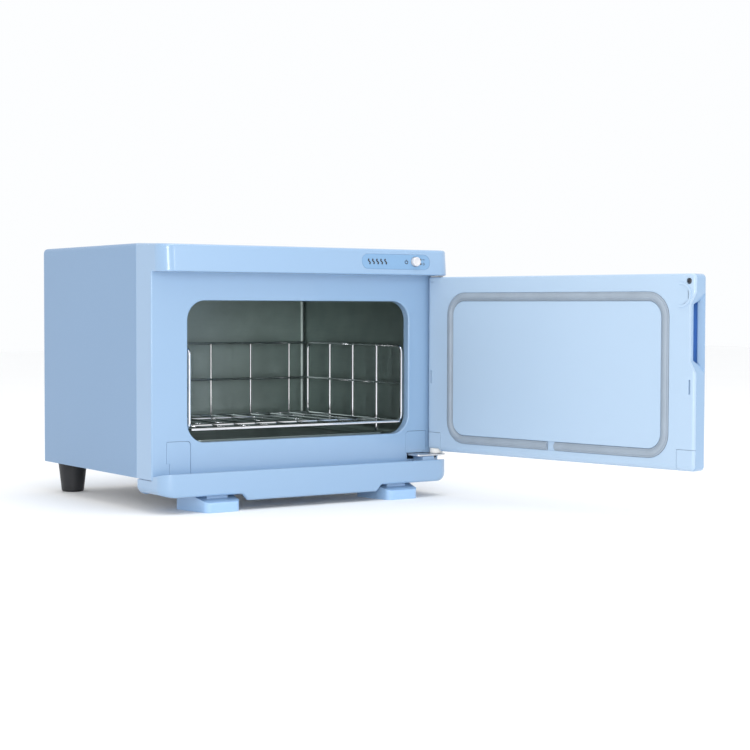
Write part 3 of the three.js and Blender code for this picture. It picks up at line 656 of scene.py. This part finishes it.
# ---- front frame
def frame_plan(inset, front, radius=PLAN_RADIUS, back=FRAME_BACK, half=HALF):
    """The frame's outline from above, drawn in by inset, with its front at a given depth."""
    side, round_ = half - inset, max(radius - inset, 0.5)
    return rounded([(-side, back), (-side, front + inset, round_), (side, front + inset, round_),
                    (side, back)], 14)


def lean_at(z):
    """How far the header's face stands back at a height."""
    return HEADER.lean * (z - HEADER_BOTTOM) / (TOP - HEADER.fall - HEADER_BOTTOM)


def header():
    low, high = HEADER_BOTTOM, TOP - HEADER.fall
    rings = []
    for inset, z in edge_in(HEADER.low_edge, low) + edge_out(HEADER.top_edge, high, 7):
        climb = HEADER.fall * (z - low) / (high - low) / FRAME_BACK
        rings.append([(p.x, p.y, z + climb * p.y) for p in frame_plan(inset, lean_at(z))])
    return loft(rings)


def hollow_plan(wall, front, back, low, high, half=HALF):
    """A hollow that keeps the same wall all round the plan, corners included."""
    return prism(frame_plan(wall, front, back=back, half=half), low, high, "z")


def drawn_in(distance, radius):
    """How far a rounded edge has drawn in at a distance before its end."""
    left = radius - min(max(distance, 0), radius)
    return radius - sqrt(radius * radius - left * left)


def rounded_stations(low, high, radii_low, radii_high, steps=9):
    """Depths at which a body with rounded ends needs a ring."""
    made = {low, high}
    for radius in radii_low:
        made |= {round(low + depth, 4) for _, depth in quarter(radius, steps)}
    for radius in radii_high:
        made |= {round(high - depth, 4) for _, depth in quarter(radius, steps)}
    return sorted(made)


def sill_ring(y):
    """The sill's outline in X and Z at a depth, with its apron below and its gutter above."""
    side = HALF - 1 - drawn_in(y, PLAN_RADIUS)
    rise = drawn_in(y, SILL.low_edge)
    apron, slope, end = SILL.apron - rise * 0.4, SILL.slope, SILL.end
    fall = (SILL_TOP - GUTTER) * min(max((y - SILL.lip) / (RECESS - SILL.lip), 0), 1)
    top = SILL_TOP - fall - drawn_in(y, SILL.lip_edge)
    low, deep = SILL_BOTTOM + rise, SILL_LOW + rise
    return at_depth(y, rounded([
        (-side, low, end), (-apron - slope, low, 3), (-apron, deep, 4), (apron, deep, 4),
        (apron + slope, low, 3), (side, low, end), (side, top, 1.2), (-side, top, 1.2)], 10))


def sill():
    stations = rounded_stations(0, FRAME_BACK, (PLAN_RADIUS, SILL.low_edge, SILL.lip_edge), ())
    stations += [SILL.lip + 0.001, SILL.lip + 1, RECESS - 0.5, RECESS]
    body = loft([sill_ring(y) for y in sorted(set(stations))])
    for low, high in ((-HALF, -HALF + WALL), (HALF - WALL, HALF)):
        cut(body, block(low, high, RECESS + 2, FRAME_BACK + 1, CASE_LOW.z - 1, SILL_TOP + 1))
    return body


def window_ring(margin, y):
    half = WINDOW.half + margin
    return at_depth(y, rectangle(-half, half, WINDOW.low - margin, WINDOW.high + margin,
                                 WINDOW.radius + margin, 14))


def window_hole():
    rim, lip = WINDOW.rim, 0.6
    path = [(rim, RECESS - 1), *edge_in(rim, RECESS, 6), *edge_out(lip, WINDOW.back, 3),
            (lip, WINDOW.back + 1)]
    return loft([window_ring(inset, y) for inset, y in path])


def pocket(side, clearance, bottom, y0, y1):
    """The shape of a hinge pocket, or of its blank cover with a clearance all round."""
    near, far, top = POCKET.near + clearance, POCKET.far - clearance, POCKET.top - clearance
    corners = [(near, bottom), (far - POCKET.step, bottom), (far - POCKET.step, POCKET.notch),
               (far, POCKET.notch), (far, top, 1.5), (near, top, 4)]
    return prism(rounded([(side * c[0], *c[1:]) for c in corners]), y0, y1)


def leaned(obj):
    """Slopes an upright piece so that it lies along the header's face."""
    for v in obj.data.vertices:
        v.co.y += lean_at(v.co.z)
    return obj


def label_shape(margin, y0, y1):
    low, high = LABEL_LOW, LABEL_HIGH
    return prism(rectangle(low.x - margin, high.x + margin, low.z - margin, high.z + margin,
                           (high.z - low.z) / 2 + margin - 0.4, 14), y0, y1)


def button_hole(low, high):
    return rod((BUTTON.x, low, BUTTON.z), (BUTTON.x, high, BUTTON.z), BUTTON_BORE, 48)


def pin_hole(low, high, radius=PIN_BORE, steps=24):
    return rod((HINGE.x, HINGE.y, low), (HINGE.x, HINGE.y, high), radius, steps)


def front_frame():
    behind = RECESS + WALL
    shell = prism(frame_plan(0, RECESS, radius=1.5), CASE_LOW.z, TOP - 6, "z")
    collar = loft([window_ring(WALL, RECESS), window_ring(WALL, WINDOW.back)])
    hollow = cut(block(-HALF + WALL, HALF - WALL, behind, FRAME_BACK + 1,
                       CASE_LOW.z + WALL, TOP - WALL - HEADER.fall), collar)
    boss = prism(rectangle(BOSS.near, BOSS.far, BOSS.front, RECESS + 1, 1.5),
                 GUTTER - 1, PLATE_LOW - GAP, "z")
    body = cut(join(shell, header(), sill(), boss), hollow)
    cut(body,
        window_hole(),
        hollow_plan(WALL, HEADER.lean, FRAME_BACK + 1, HEADER_BOTTOM + WALL, TOP - HEADER.fall - WALL),
        hollow_plan(WALL, 1, FRAME_BACK - 3, 0, GUTTER - WALL, half=HALF - 1),
        block(PLATE_SLOT.near, PLATE_SLOT.far, RECESS - 1, behind + 1, SILL_TOP, PLATE_TOP + 0.5),
        pocket(-1, 0, GUTTER, RECESS - 1, behind + 1),
        pocket(1, 0, PLATE_TOP + 0.4, RECESS - 1, behind + 1),
        leaned(label_shape(0.25, -4, LABEL_DEPTH)),
        button_hole(-4, 12),
        pin_hole(HEADER_BOTTOM - 1, HEADER_BOTTOM + 6))

    def by_label(p):
        return LABEL_LOW.x - 1 < p.x < LABEL_HIGH.x + 1 and p.y < 6 and p.z > HEADER_BOTTOM + 3

    def by_pocket(p):
        across = POCKET.near - 1 < abs(p.x) < PLATE_SLOT.far + 1
        return across and RECESS - 0.1 < p.y < behind + 0.5 and p.z < POCKET.top + 1

    soften(body, 0.3, [(by_label, 0.12), (by_pocket, 0.25)])
    settle(body, "frame_moulding", "blue_abs", "front_frame")
    for name, side, bottom in (("left", -1, GUTTER + GAP), ("right", 1, PLATE_TOP + 0.7)):
        cover = soften(pocket(side, GAP, bottom, RECESS, behind), 0.35)
        settle(cover, f"pocket_cover_{name}", "blue_abs", f"hinge_cover_{name}")


# ---- case
def case_ring(inset, y, low=0):
    """The case's outline at a depth; low takes its bottom down, to cut the case open there."""
    side = HALF - inset
    return at_depth(y, rounded([(-side, CASE_LOW.z - low), (side, CASE_LOW.z - low),
                                (side, TOP - inset, 5 - inset), (-side, TOP - inset, 5 - inset)], 12))


def case():
    hem = 0.7
    outside = edge_in(hem, CASE_LOW.y, 4) + edge_out(hem, CASE_HIGH.y, 4)
    wrap = cut(loft([case_ring(inset, y) for inset, y in outside]),
               loft([case_ring(SHEET, y, 2) for y in (CASE_LOW.y - 1, CASE_HIGH.y + 1)]))
    settle(smooth(wrap, 30), "case_wrap", "case_paint", "outer_case")

    low, high = span("base_panel")
    x, y, _ = centre_of("rear_foot_left")
    floor = prism(rectangle(low.x, high.x, low.y, high.y), low.z, high.z, "z")
    for side in SIDES.values():
        cut(floor, rod((side * x, y, low.z - 1), (side * x, y, high.z + 1), 2.6))
    settle(soften(floor, 0.2, segments=2), "base_sheet", "zinc_steel", "base_panel")


def rear():
    low, high = span("rear_panel")
    plate = prism(rectangle(low.x, high.x, low.z, high.z, 3.4, 6), low.y, high.y)
    before, after = low.y - 3, high.y + 3
    gx, _, gz = centre_of("cord_gland")
    cut(plate, rod((gx, before, gz), (gx, after, gz), 6.4, 32))
    for i in range(VENTS.count):
        x = (i - VENTS.count // 2) * VENTS.pitch + VENTS.shift
        vent = rectangle(x - VENTS.half, x + VENTS.half, VENTS.low, VENTS.high, 1.9, 5)
        cut(plate, prism(vent, before, after))
    for i in range(1, 7):
        x, _, z = centre_of(f"rear_screw_{i}")
        cut(plate, rod((x, before, z), (x, after, z), 1.9))
        body = screw((x, high.y + GAP, z), radius=3.4, height=1.6, shank=1.5, length=7)
        settle(body, f"back_screw_{i}", "zinc_steel", f"rear_screw_{i}")
    settle(soften(plate, 0.2, segments=2), "back_sheet", "case_paint", "rear_panel")

    face = high.y
    profile = [(3.2, -6), (5.6, -6), (6, -5.5), (6, GAP), (8.6, GAP), (9, 0.8), (8.9, 1.6), (8.2, 2.4),
               (6.4, 2.9), (4.2, 3), (3.5, 2.6), (3.2, 2), (3.2, -6)]
    gland = lathe([(radius, face + rise) for radius, rise in profile], (gx, 0, gz), "y", 56)
    settle(smooth(gland, 40), "cord_bush", "black_plastic", "cord_gland")


def screw(seat, radius, height, shank, length):
    """A pan-head screw with a cross recess; its head stands on seat and its shank runs ahead of it."""
    x, base, z = seat
    dome = [(radius * cos(t), base + height * (0.35 + 0.65 * sin(t)))
            for t in (pi / 2 * k / 6 for k in range(6))]
    tip, top = base - length, base + height
    body = lathe([(0, tip), (shank - 0.4, tip), (shank, tip + 0.8), (shank, base),
                  (radius - 0.15, base), (radius, base + 0.2), *dome, (0, top)], (x, 0, z), "y", 40)
    reach, arm, deep = radius * 0.55, radius * 0.11, height * 0.6
    for across, up in ((reach, arm), (arm, reach)):
        cut(body, block(x - across, x + across, top - deep, top + 1, z - up, z + up))
    return smooth(body, 32)


# ---- chamber, basket and tray
def chamber():
    outer_low, outer_high = span("inner_chamber")
    half = span("insulation_right")[0].x - GAP
    front, back, flange = outer_low.y, outer_high.y, outer_high.x - half
    bottom, top = outer_low.z + flange, outer_high.z - flange

    def ring(inset, y):
        return at_depth(y, rectangle(-half + inset, half - inset, bottom + inset, top - inset,
                                     max(8 - inset, 1.5)))

    corner = 6
    path = [(inset, back - depth) for inset, depth in quarter(corner, 7)]
    path += [(0, front + SHEET + 1), (-0.4, front + SHEET + 0.3), (-1, front + SHEET),
             (-flange, front + SHEET), (-flange, front), (-1, front),
             (0.2, front + 0.15), (0.7, front + 0.6), (SHEET, front + 1.4)]
    path += [(SHEET + inset, y) for inset, y in edge_out(corner - SHEET, back - SHEET, 7)]
    tub = loft([ring(inset, y) for inset, y in path])
    settle(smooth(tub, 40), "towel_chamber", "chamber_aluminium", "inner_chamber")


def bent_loop(corners, radius, steps=6):
    """Points along a closed wire that turns through corners with rounded bends."""
    points = [Vector(c) for c in corners]
    made = []
    for i, here in enumerate(points):
        before, after = points[i - 1], points[(i + 1) % len(points)]
        a, b = (before - here).normalized(), (after - here).normalized()
        reach = radius / tan(a.angle(b) / 2)
        start, end = here + a * reach, here + b * reach
        for k in range(steps + 1):
            t = k / steps
            made.append(start * (1 - t) ** 2 + here * 2 * t * (1 - t) + end * t * t)
    return made + made[:1]


def basket():
    lo, hi = span("basket_side_left")
    floor_back = span("basket_floor")[1].y
    back_lo, back_hi = span("basket_back")
    wire, fine, pitch, inner = 1.5, 1.1, 25.9, 48
    front, back = lo.y + wire, hi.y - wire
    bottom, top = back_lo.z + wire, back_hi.z - wire
    middle = (bottom + top) / 2
    for name in SIDES:
        x = centre_of(f"basket_side_{name}")[0]
        corners = [(x, front, bottom), (x, back, bottom), (x, back, top), (x, front, top)]
        runs = [(bent_loop(corners, 9), wire), ([(x, front, middle), (x, back, middle)], wire)]
        for i in range(1, 4):
            y = front + (back - front) * i / 4
            runs.append(([(x, y, lo.z if i % 2 else bottom), (x, y, top)], wire))
        settle(wires(f"grille_{name}", runs), f"grille_{name}", "chrome_wire", f"basket_side_{name}")
    end = back_hi.x - 0.2
    y = centre_of("basket_back")[1]
    runs = [([(-end, y, z), (end, y, z)], wire) for z in (bottom, middle, top)]
    runs += [([(i * pitch, y, bottom), (i * pitch, y, top)], fine) for i in range(-4, 5, 2)]
    settle(wires("grille_back", runs), "grille_back", "chrome_wire", "basket_back")
    runs = [([(-end, y, bottom), (end, y, bottom)], wire) for y in (front, front + inner, back - inner)]
    runs += [([(i * pitch, front, bottom), (i * pitch, floor_back, bottom)], fine) for i in range(-4, 5)]
    settle(wires("grille_floor", runs), "grille_floor", "chrome_wire", "basket_floor")


def tray():
    low, high = span("drip_tray")

    def ring(inset, z):
        points = rectangle(low.x + inset, high.x - inset, low.y + inset, high.y - inset,
                           max(8 - inset, 1.5))
        return [(p.x, p.y, z) for p in points]

    skin, foot = 1.2, 2
    path = edge_in(foot, low.z)
    path += [(0, high.z - 0.6), (0.18, high.z - 0.18), (0.6, high.z),
             (1.02, high.z - 0.18), (skin, high.z - 0.6)]
    path += [(skin + inset, low.z + skin + depth) for inset, depth in reversed(quarter(foot, 5))]
    body = smooth(loft([ring(inset, z) for inset, z in path]), 40)
    settle(body, "tray", "chamber_aluminium", "drip_tray")


# ---- door
def door_ring(y):
    """The door's outline in X and Z at a depth; each side has its own rounding at front and back."""
    ahead, behind = y - DOOR_LOW.y, DOOR_HIGH.y - y
    inset = {side: drawn_in(ahead, front) + drawn_in(behind, back)
             for side, (front, back) in EDGES.items()}
    x0, x1 = DOOR_LOW.x + inset["free"], DOOR_HIGH.x - inset["hinge"]
    z0, z1 = DOOR_LOW.z + inset["low"], DOOR_HIGH.z - inset["top"]
    return at_depth(y, rounded([(x0, z0, 4.5), (x1, z0, 2), (x1, z1, 2), (x0, z1, 4.5)]))


def door_blank():
    lo, hi = DOOR_LOW, DOOR_HIGH
    fronts, backs = zip(*EDGES.values())
    body = loft([door_ring(y) for y in rounded_stations(lo.y, hi.y, fronts, backs, 6)])
    outside, floor = lo.x - 4, lo.x + SCOOP.depth
    mouth = SCOOP.spread * (1 + 4 / SCOOP.depth)
    below, above = 120, 240  # well past both ends of the scoop
    scoop = overlap(
        prism([(outside, hi.y + 2), (outside, lo.y + SCOOP.lip), (lo.x + 0.6, lo.y + SCOOP.lip),
               (floor, SLOT.near), (floor, hi.y + 2)], below, above, "z"),
        prism([(outside, SCOOP.low - mouth), (floor, SCOOP.low),
               (floor, SCOOP.high), (outside, SCOOP.high + mouth)], lo.y - 1, hi.y + 3))
    ends = [(SLOT.near, SLOT.near_low), (SLOT.far, SLOT.far_low),
            (SLOT.far, SLOT.far_high), (SLOT.near, SLOT.near_high)]
    slot = join(prism(ends, outside, lo.x + 12, "x"),
                block(lo.x + HOLLOW.mouth, lo.x + HOLLOW.end, HOLLOW.near, SLOT.far,
                      HOLLOW.low, HOLLOW.high))
    notch = block(hi.x - NOTCH.along, hi.x + 1, lo.y - 1, hi.y + 1, lo.z - 1, lo.z + NOTCH.rise)
    return cut(body, scoop, slot, notch)


def copy(obj):
    return add_object("copy", obj.data.copy())


def door_slice(blank, y0, y1):
    """The part of the door's outline between two depths."""
    return overlap(copy(blank), block(-HALF, HALF, y0, y1, 0, TOP))


def bush_hole(end):
    low, high = DOOR_LOW.z + NOTCH.rise, DOOR_HIGH.z
    a, b = {"lower": (low - 1, low + BUSH.depth), "upper": (high - BUSH.depth, high + 1)}[end]
    return pin_hole(a, b, BUSH.hole, 28)


def cap_box(side, clearance):
    near, far = HALF - CAP_WIDTH + clearance, HALF
    return block(min(side * near, side * far), max(side * near, side * far), LINER_FRONT, DOOR_HIGH.y + 1,
                 DOOR_LOW.z - 2, span("door_corner_cap_left")[1].z + GAP - clearance)


def gasket_path(margin):
    """The gasket's outline, drawn in by margin, from the middle of the bottom and round."""
    low, high = span("door_gasket")
    radius = GASKET.radius - margin
    return rounded([(0, low.z + margin), (high.x - margin, low.z + margin, radius),
                    (high.x - margin, high.z - margin, radius), (low.x + margin, high.z - margin, radius),
                    (low.x + margin, low.z + margin, radius)], 14)


def paint_slot_shade(shell):
    """Paints the walls of the handle slot a deeper blue, as painted shade in the hollow."""
    back = BODY_PLACE["door"].inverted()
    shell.data.materials.append(MATERIALS["slot_painted_shade"])
    for face in shell.data.polygons:
        p = back @ face.center
        along = SCOOP.depth + 0.5 < p.x - DOOR_LOW.x < HOLLOW.end + 1
        across = HOLLOW.near - 0.2 < p.y < SLOT.far + 0.3
        if along and across and HOLLOW.low - 1 < p.z < HOLLOW.high + 1:
            face.material_index = 1


def by_scoop(low, high):
    """A test for the edges of the scoop and the slot between two heights."""
    return lambda p: p.x < DOOR_LOW.x + 12 and low < p.z < high


def door_shell(blank):
    shell = door_slice(blank, -5, LINER_FRONT - GAP)
    low, high = span("door_insulation")
    clear = 0.8
    cut(shell,
        block(low.x - clear, high.x + clear, low.y - GAP, LINER_FRONT + 1, low.z - clear, high.z + clear),
        bush_hole("lower"), bush_hole("upper"))
    soften(shell, 0.3, [(by_scoop(130, 225), 0.9)])
    settle(shell, "door_skin", "blue_abs", "door_shell", body="door")
    paint_slot_shade(shell)


def door_liner(blank):
    liner = door_slice(blank, LINER_FRONT, 30)
    face = DOOR_HIGH.y
    inner = GASKET.width + GASKET.fit
    groove = cut(prism(gasket_path(-GASKET.fit), face - 1, face + 1),
                 prism(gasket_path(inner), face - 2, face + 2))
    crown = 0.8
    levels = [(0, face - 1), *edge_out(crown, face + crown, 4)]
    field = loft([at_depth(y, gasket_path(inner + inset)) for inset, y in levels])
    pad_x, _, pad_z = centre_of("door_strike_plate")
    mark = ring_mark(pad_x, pad_z, RING.radius, RING.width, radians(80), radians(200))
    ridge = prism(mark, face - 0.5, face + RING.rise)
    cut(liner, cap_box(-1, 0), cap_box(1, 0), groove)
    join(liner, field, ridge)

    screw_x, _, screw_z = centre_of("liner_screw")
    sink = [(0, face - 2), (3, face - 2), (3, face - 0.4), (3.6, face + 1), (0, face + 1)]
    slits = [block(x - SLIT.half, x + SLIT.half, face - SLIT.depth, face + 1, SLIT.low, SLIT.high)
             for x in (-SLIT.place, SLIT.place)]
    seam = block(HALF - 11, HALF + 1, face - 1.2, face + 1, DOOR_HIGH.z - 5.8, DOOR_HIGH.z - 5)
    cut(liner, *slits, seam,
        lathe(sink, (screw_x, 0, screw_z), "y", 40),
        rod((screw_x, face - 5, screw_z), (screw_x, face + 1, screw_z), 1.6),
        bush_hole("upper"))

    def on_ridge(p):
        away = (Vector((p.x, p.z)) - Vector((pad_x, pad_z))).length
        return away < RING.radius + 1 and p.y > face + 0.5

    soften(liner, 0.2, [(by_scoop(140, 222), 0.9), (on_ridge, 0.7)])
    # the liner's paler blue finish is painted sheen
    settle(liner, "door_inner_panel", "blue_abs", "door_liner", body="door", finish="door_satin_painted_sheen")


def door():
    blank = door_blank()
    door_shell(blank)
    door_liner(blank)
    for name, side in SIDES.items():
        cap = overlap(copy(blank), cap_box(side, GAP))
        if side > 0:
            cut(cap, bush_hole("lower"))
        # the caps' paler blue finish is painted sheen
        settle(soften(cap, 0.3, segments=2), f"corner_cap_{name}", "blue_abs",
               f"door_corner_cap_{name}", body="door", finish="door_satin_painted_sheen")
    bpy.data.objects.remove(blank)


def gasket():
    """A low silicone bulb between two fins, laid in the liner's groove and open at the bottom."""
    base, crest = DOOR_HIGH.y - 0.9, span("door_gasket")[1].y
    shoulder, width = base + 1.45, GASKET.width
    section = [(0, base), (0, shoulder - 0.35), (0.35, shoulder - 0.05), (1.3, shoulder)]
    for k in range(11):
        angle = pi * (1 - k / 10)
        section.append((4.25 + 2.75 * cos(angle), shoulder + (crest - shoulder) * sin(angle)))
    section += [(7.3, shoulder), (8.05, shoulder - 0.05), (width, shoulder - 0.35), (width, base)]
    drain = GASKET.drain / 2
    bm = bmesh.new()
    rings = []
    for margin, height in section:
        path = gasket_path(margin)
        points = [(drain, path[0].y), *[(p.x, p.y) for p in path[1:]], (-drain, path[0].y)]
        rings.append([bm.verts.new((x, height, z)) for x, z in points])
    count = len(rings[0])
    for a, b in zip(rings, rings[1:] + rings[:1]):
        for i in range(count - 1):
            bm.faces.new((a[i], a[i + 1], b[i + 1], b[i]))
    bm.faces.new([ring[0] for ring in rings])
    bm.faces.new([ring[-1] for ring in rings])
    settle(smooth(link(bm), 50), "door_seal", "gasket_silicone", "door_gasket", body="door")


# ---- feet, label and button
def front_feet():
    for name, side in SIDES.items():
        low, high = span(f"front_foot_{name}")
        inner, outer, neck = 90, 128, 12
        corners = [(inner, low.y, 7), (outer, low.y, 7), (outer + 8, high.y, 3), (inner - 7, high.y, 3)]
        plan = prism(rounded([(side * c[0], *c[1:]) for c in corners], 10), -1, SILL_BOTTOM, "z")
        profile = prism(rounded([(low.y, 0), (high.y, 0), (high.y, SILL_BOTTOM - GAP),
                                 (22, SILL_BOTTOM - GAP), (low.y, 10, 1.5)], 6), -HALF, HALF, "x")
        middle = side * (inner + outer) / 2
        stem = block(middle - neck, middle + neck, 9, high.y - 5, 5, high.z)
        body = join(overlap(plan, profile), stem)
        # the pads' paler finish is painted light against the shade under the sill
        settle(soften(body, 0.8), f"front_pad_{name}", "blue_abs", f"front_foot_{name}",
               finish="pad_painted_light")


def rear_feet():
    for name in SIDES:
        low, high = span(f"rear_foot_{name}")
        x, y, _ = centre_of(f"rear_foot_{name}")
        top, bottom, height = (high.x - low.x) / 2, 12.2, high.z
        profile = [(0, 0), (bottom - 2.4, 0), (bottom - 1, 0.3), (bottom - 0.3, 1), (bottom, 2.2),
                   (top - 0.35, height - 3), (top - 0.3, height - 2.4), (top, height - 2),
                   (top, height - 0.6), (top - 0.6, height), (4, height), (2.8, height - 1),
                   (2.8, 7), (0, 7)]
        foot = lathe(profile, (x, y, 0), steps=56)
        settle(smooth(foot, 40), f"rear_leg_{name}", "foot_rubber", f"rear_foot_{name}")


def label():
    plate = cut(label_shape(0, 0.05, LABEL_DEPTH), button_hole(-6, 6))
    settle(leaned(soften(plate, 0.12, segments=2)), "label_plate", "label_film", "control_label")


def button():
    radius = 4.9
    profile = [(0, 0.55), (1.6, 0.5), (2.9, 0.3), (3.5, 0), (radius - 0.9, 0), (radius - 0.35, 0.2),
               (radius - 0.05, 0.6), (radius, 1.2), (radius, 10), (2, 10), (2, 16.4), (0, 16.4)]
    cap = lathe([(r, BUTTON_LOW.y + depth) for r, depth in profile], (BUTTON.x, 0, BUTTON.z), "y", 56)
    settle(smooth(cap, 30), "button_cap", "button_white", "power_button", body="button")


def label_marks():
    """Generic pictograms: rising warmth, a switch symbol and two state marks."""
    middle = (LABEL_LOW.z + LABEL_HIGH.z) / 2
    marks = []
    for k in range(5):
        x = LABEL_LOW.x + 9 + 5.2 * k
        wave = [(x + 1.1 * sin(tau * t / 12), middle - 2.7 + 5.4 * t / 12) for t in range(13)]
        marks.append(stroke_mark(wave, 1.5))
    x = BUTTON.x - 11.5
    marks.append(ring_mark(x, middle, 2.2, 0.8, radians(125), radians(290)))
    marks.append(stroke_mark([(x, middle + 0.2), (x, middle + 2.6)], 0.8))
    apart, dot = 2.3, 1.15
    turns = [tau * k / 20 for k in range(20)]
    for z in (BUTTON.z - apart, BUTTON.z + apart):
        marks.append([(BUTTON.x + 7.2 + dot * cos(a), z + dot * sin(a)) for a in turns])
    marks.append(stroke_mark([(BUTTON.x + x, BUTTON.z + apart) for x in (9.6, 12.6)], 0.6))
    marks.append(ring_mark(BUTTON.x + 11.1, BUTTON.z - apart, 1.3, 0.45, 0, tau * 0.999))
    settle(leaned(prisms(marks, -0.02, 0.2)), "label_print", "black_plastic")


# ---- hinge
def hinge_plate():
    low, high = span("lower_hinge_bracket")
    ahead, behind, step = 174, 171, 22  # its end ahead of the step and behind it
    plan = rounded([(low.x, low.y, 3), (ahead, low.y, 8), (ahead, step, 4), (behind, step),
                    (behind, high.y), (low.x, high.y)])
    tongue = prism(plan, low.z, low.z + PLATE_SHEET, "z")
    wall = rounded([(low.x, low.z), (behind, low.z), (behind, high.z, 3), (low.x, high.z, 3)], 6)
    body = cut(join(tongue, prism(wall, high.y - PLATE_SHEET, high.y)), pin_hole(0, 60))
    settle(soften(body, 0.4), "hinge_plate", "zinc_steel", "lower_hinge_bracket")


def hinge_pin(end):
    low, high = span(f"{end}_hinge_pin")
    radius = (high.x - low.x) / 2
    pin = lathe([(0, low.z), (radius - 0.5, low.z), (radius, low.z + 0.5), (radius, high.z - 0.5),
                 (radius - 0.5, high.z), (0, high.z)], HINGE, steps=32)
    settle(smooth(pin, 30), f"hinge_pin_{end}", "zinc_steel", f"{end}_hinge_pin")


def hinge_bush(end):
    """A flanged bush; its flange bears on the frame and its sleeve goes into the door."""
    low, high = span(f"{end}_hinge_bush")
    sleeve, flange = BUSH.sleeve, (high.x - low.x) / 2
    rim, far, way = (low.z, high.z, 1) if end == "lower" else (high.z, low.z, -1)
    thick = FLANGES[end]
    points = [(PIN_BORE, rim + way * 0.3), (PIN_BORE + 0.3, rim), (flange - 0.4, rim),
              (flange, rim + way * 0.4), (flange, rim + way * (thick - 0.4)),
              (flange - 0.4, rim + way * thick), (sleeve, rim + way * thick), (sleeve, far - way * 0.4),
              (sleeve - 0.4, far), (PIN_BORE, far), (PIN_BORE, rim + way * 0.3)]
    bush = lathe(points, HINGE, steps=40)
    settle(smooth(bush, 30), f"hinge_bush_{end}", "white_nylon", f"{end}_hinge_bush", body="door")


def liner_fixing():
    high = span("liner_screw")[1]
    x, _, z = centre_of("liner_screw")
    head = 1.5
    body = screw((x, high.y - head, z), radius=2.6, height=head, shank=1.3, length=8.3)
    # the screw's dark finish is painted shade of its recess
    settle(body, "panel_screw", "zinc_steel", "liner_screw", body="door", finish="screw_steel_painted_shade")


front_frame()
case()
rear()
chamber()
basket()
tray()
door()
gasket()
front_feet()
rear_feet()
label()
button()
label_marks()
hinge_plate()
for end in ("lower", "upper"):
    hinge_pin(end)
    hinge_bush(end)
liner_fixing()

slots = {part["node"]: part["material_slot"] for part in frame["record"]["subparts"]}
for name, obj in frame["nodes"].items():
    obj.data.materials.clear()
    obj.data.materials.append(MATERIALS[slots[name]])

make_camera()
make_studio()
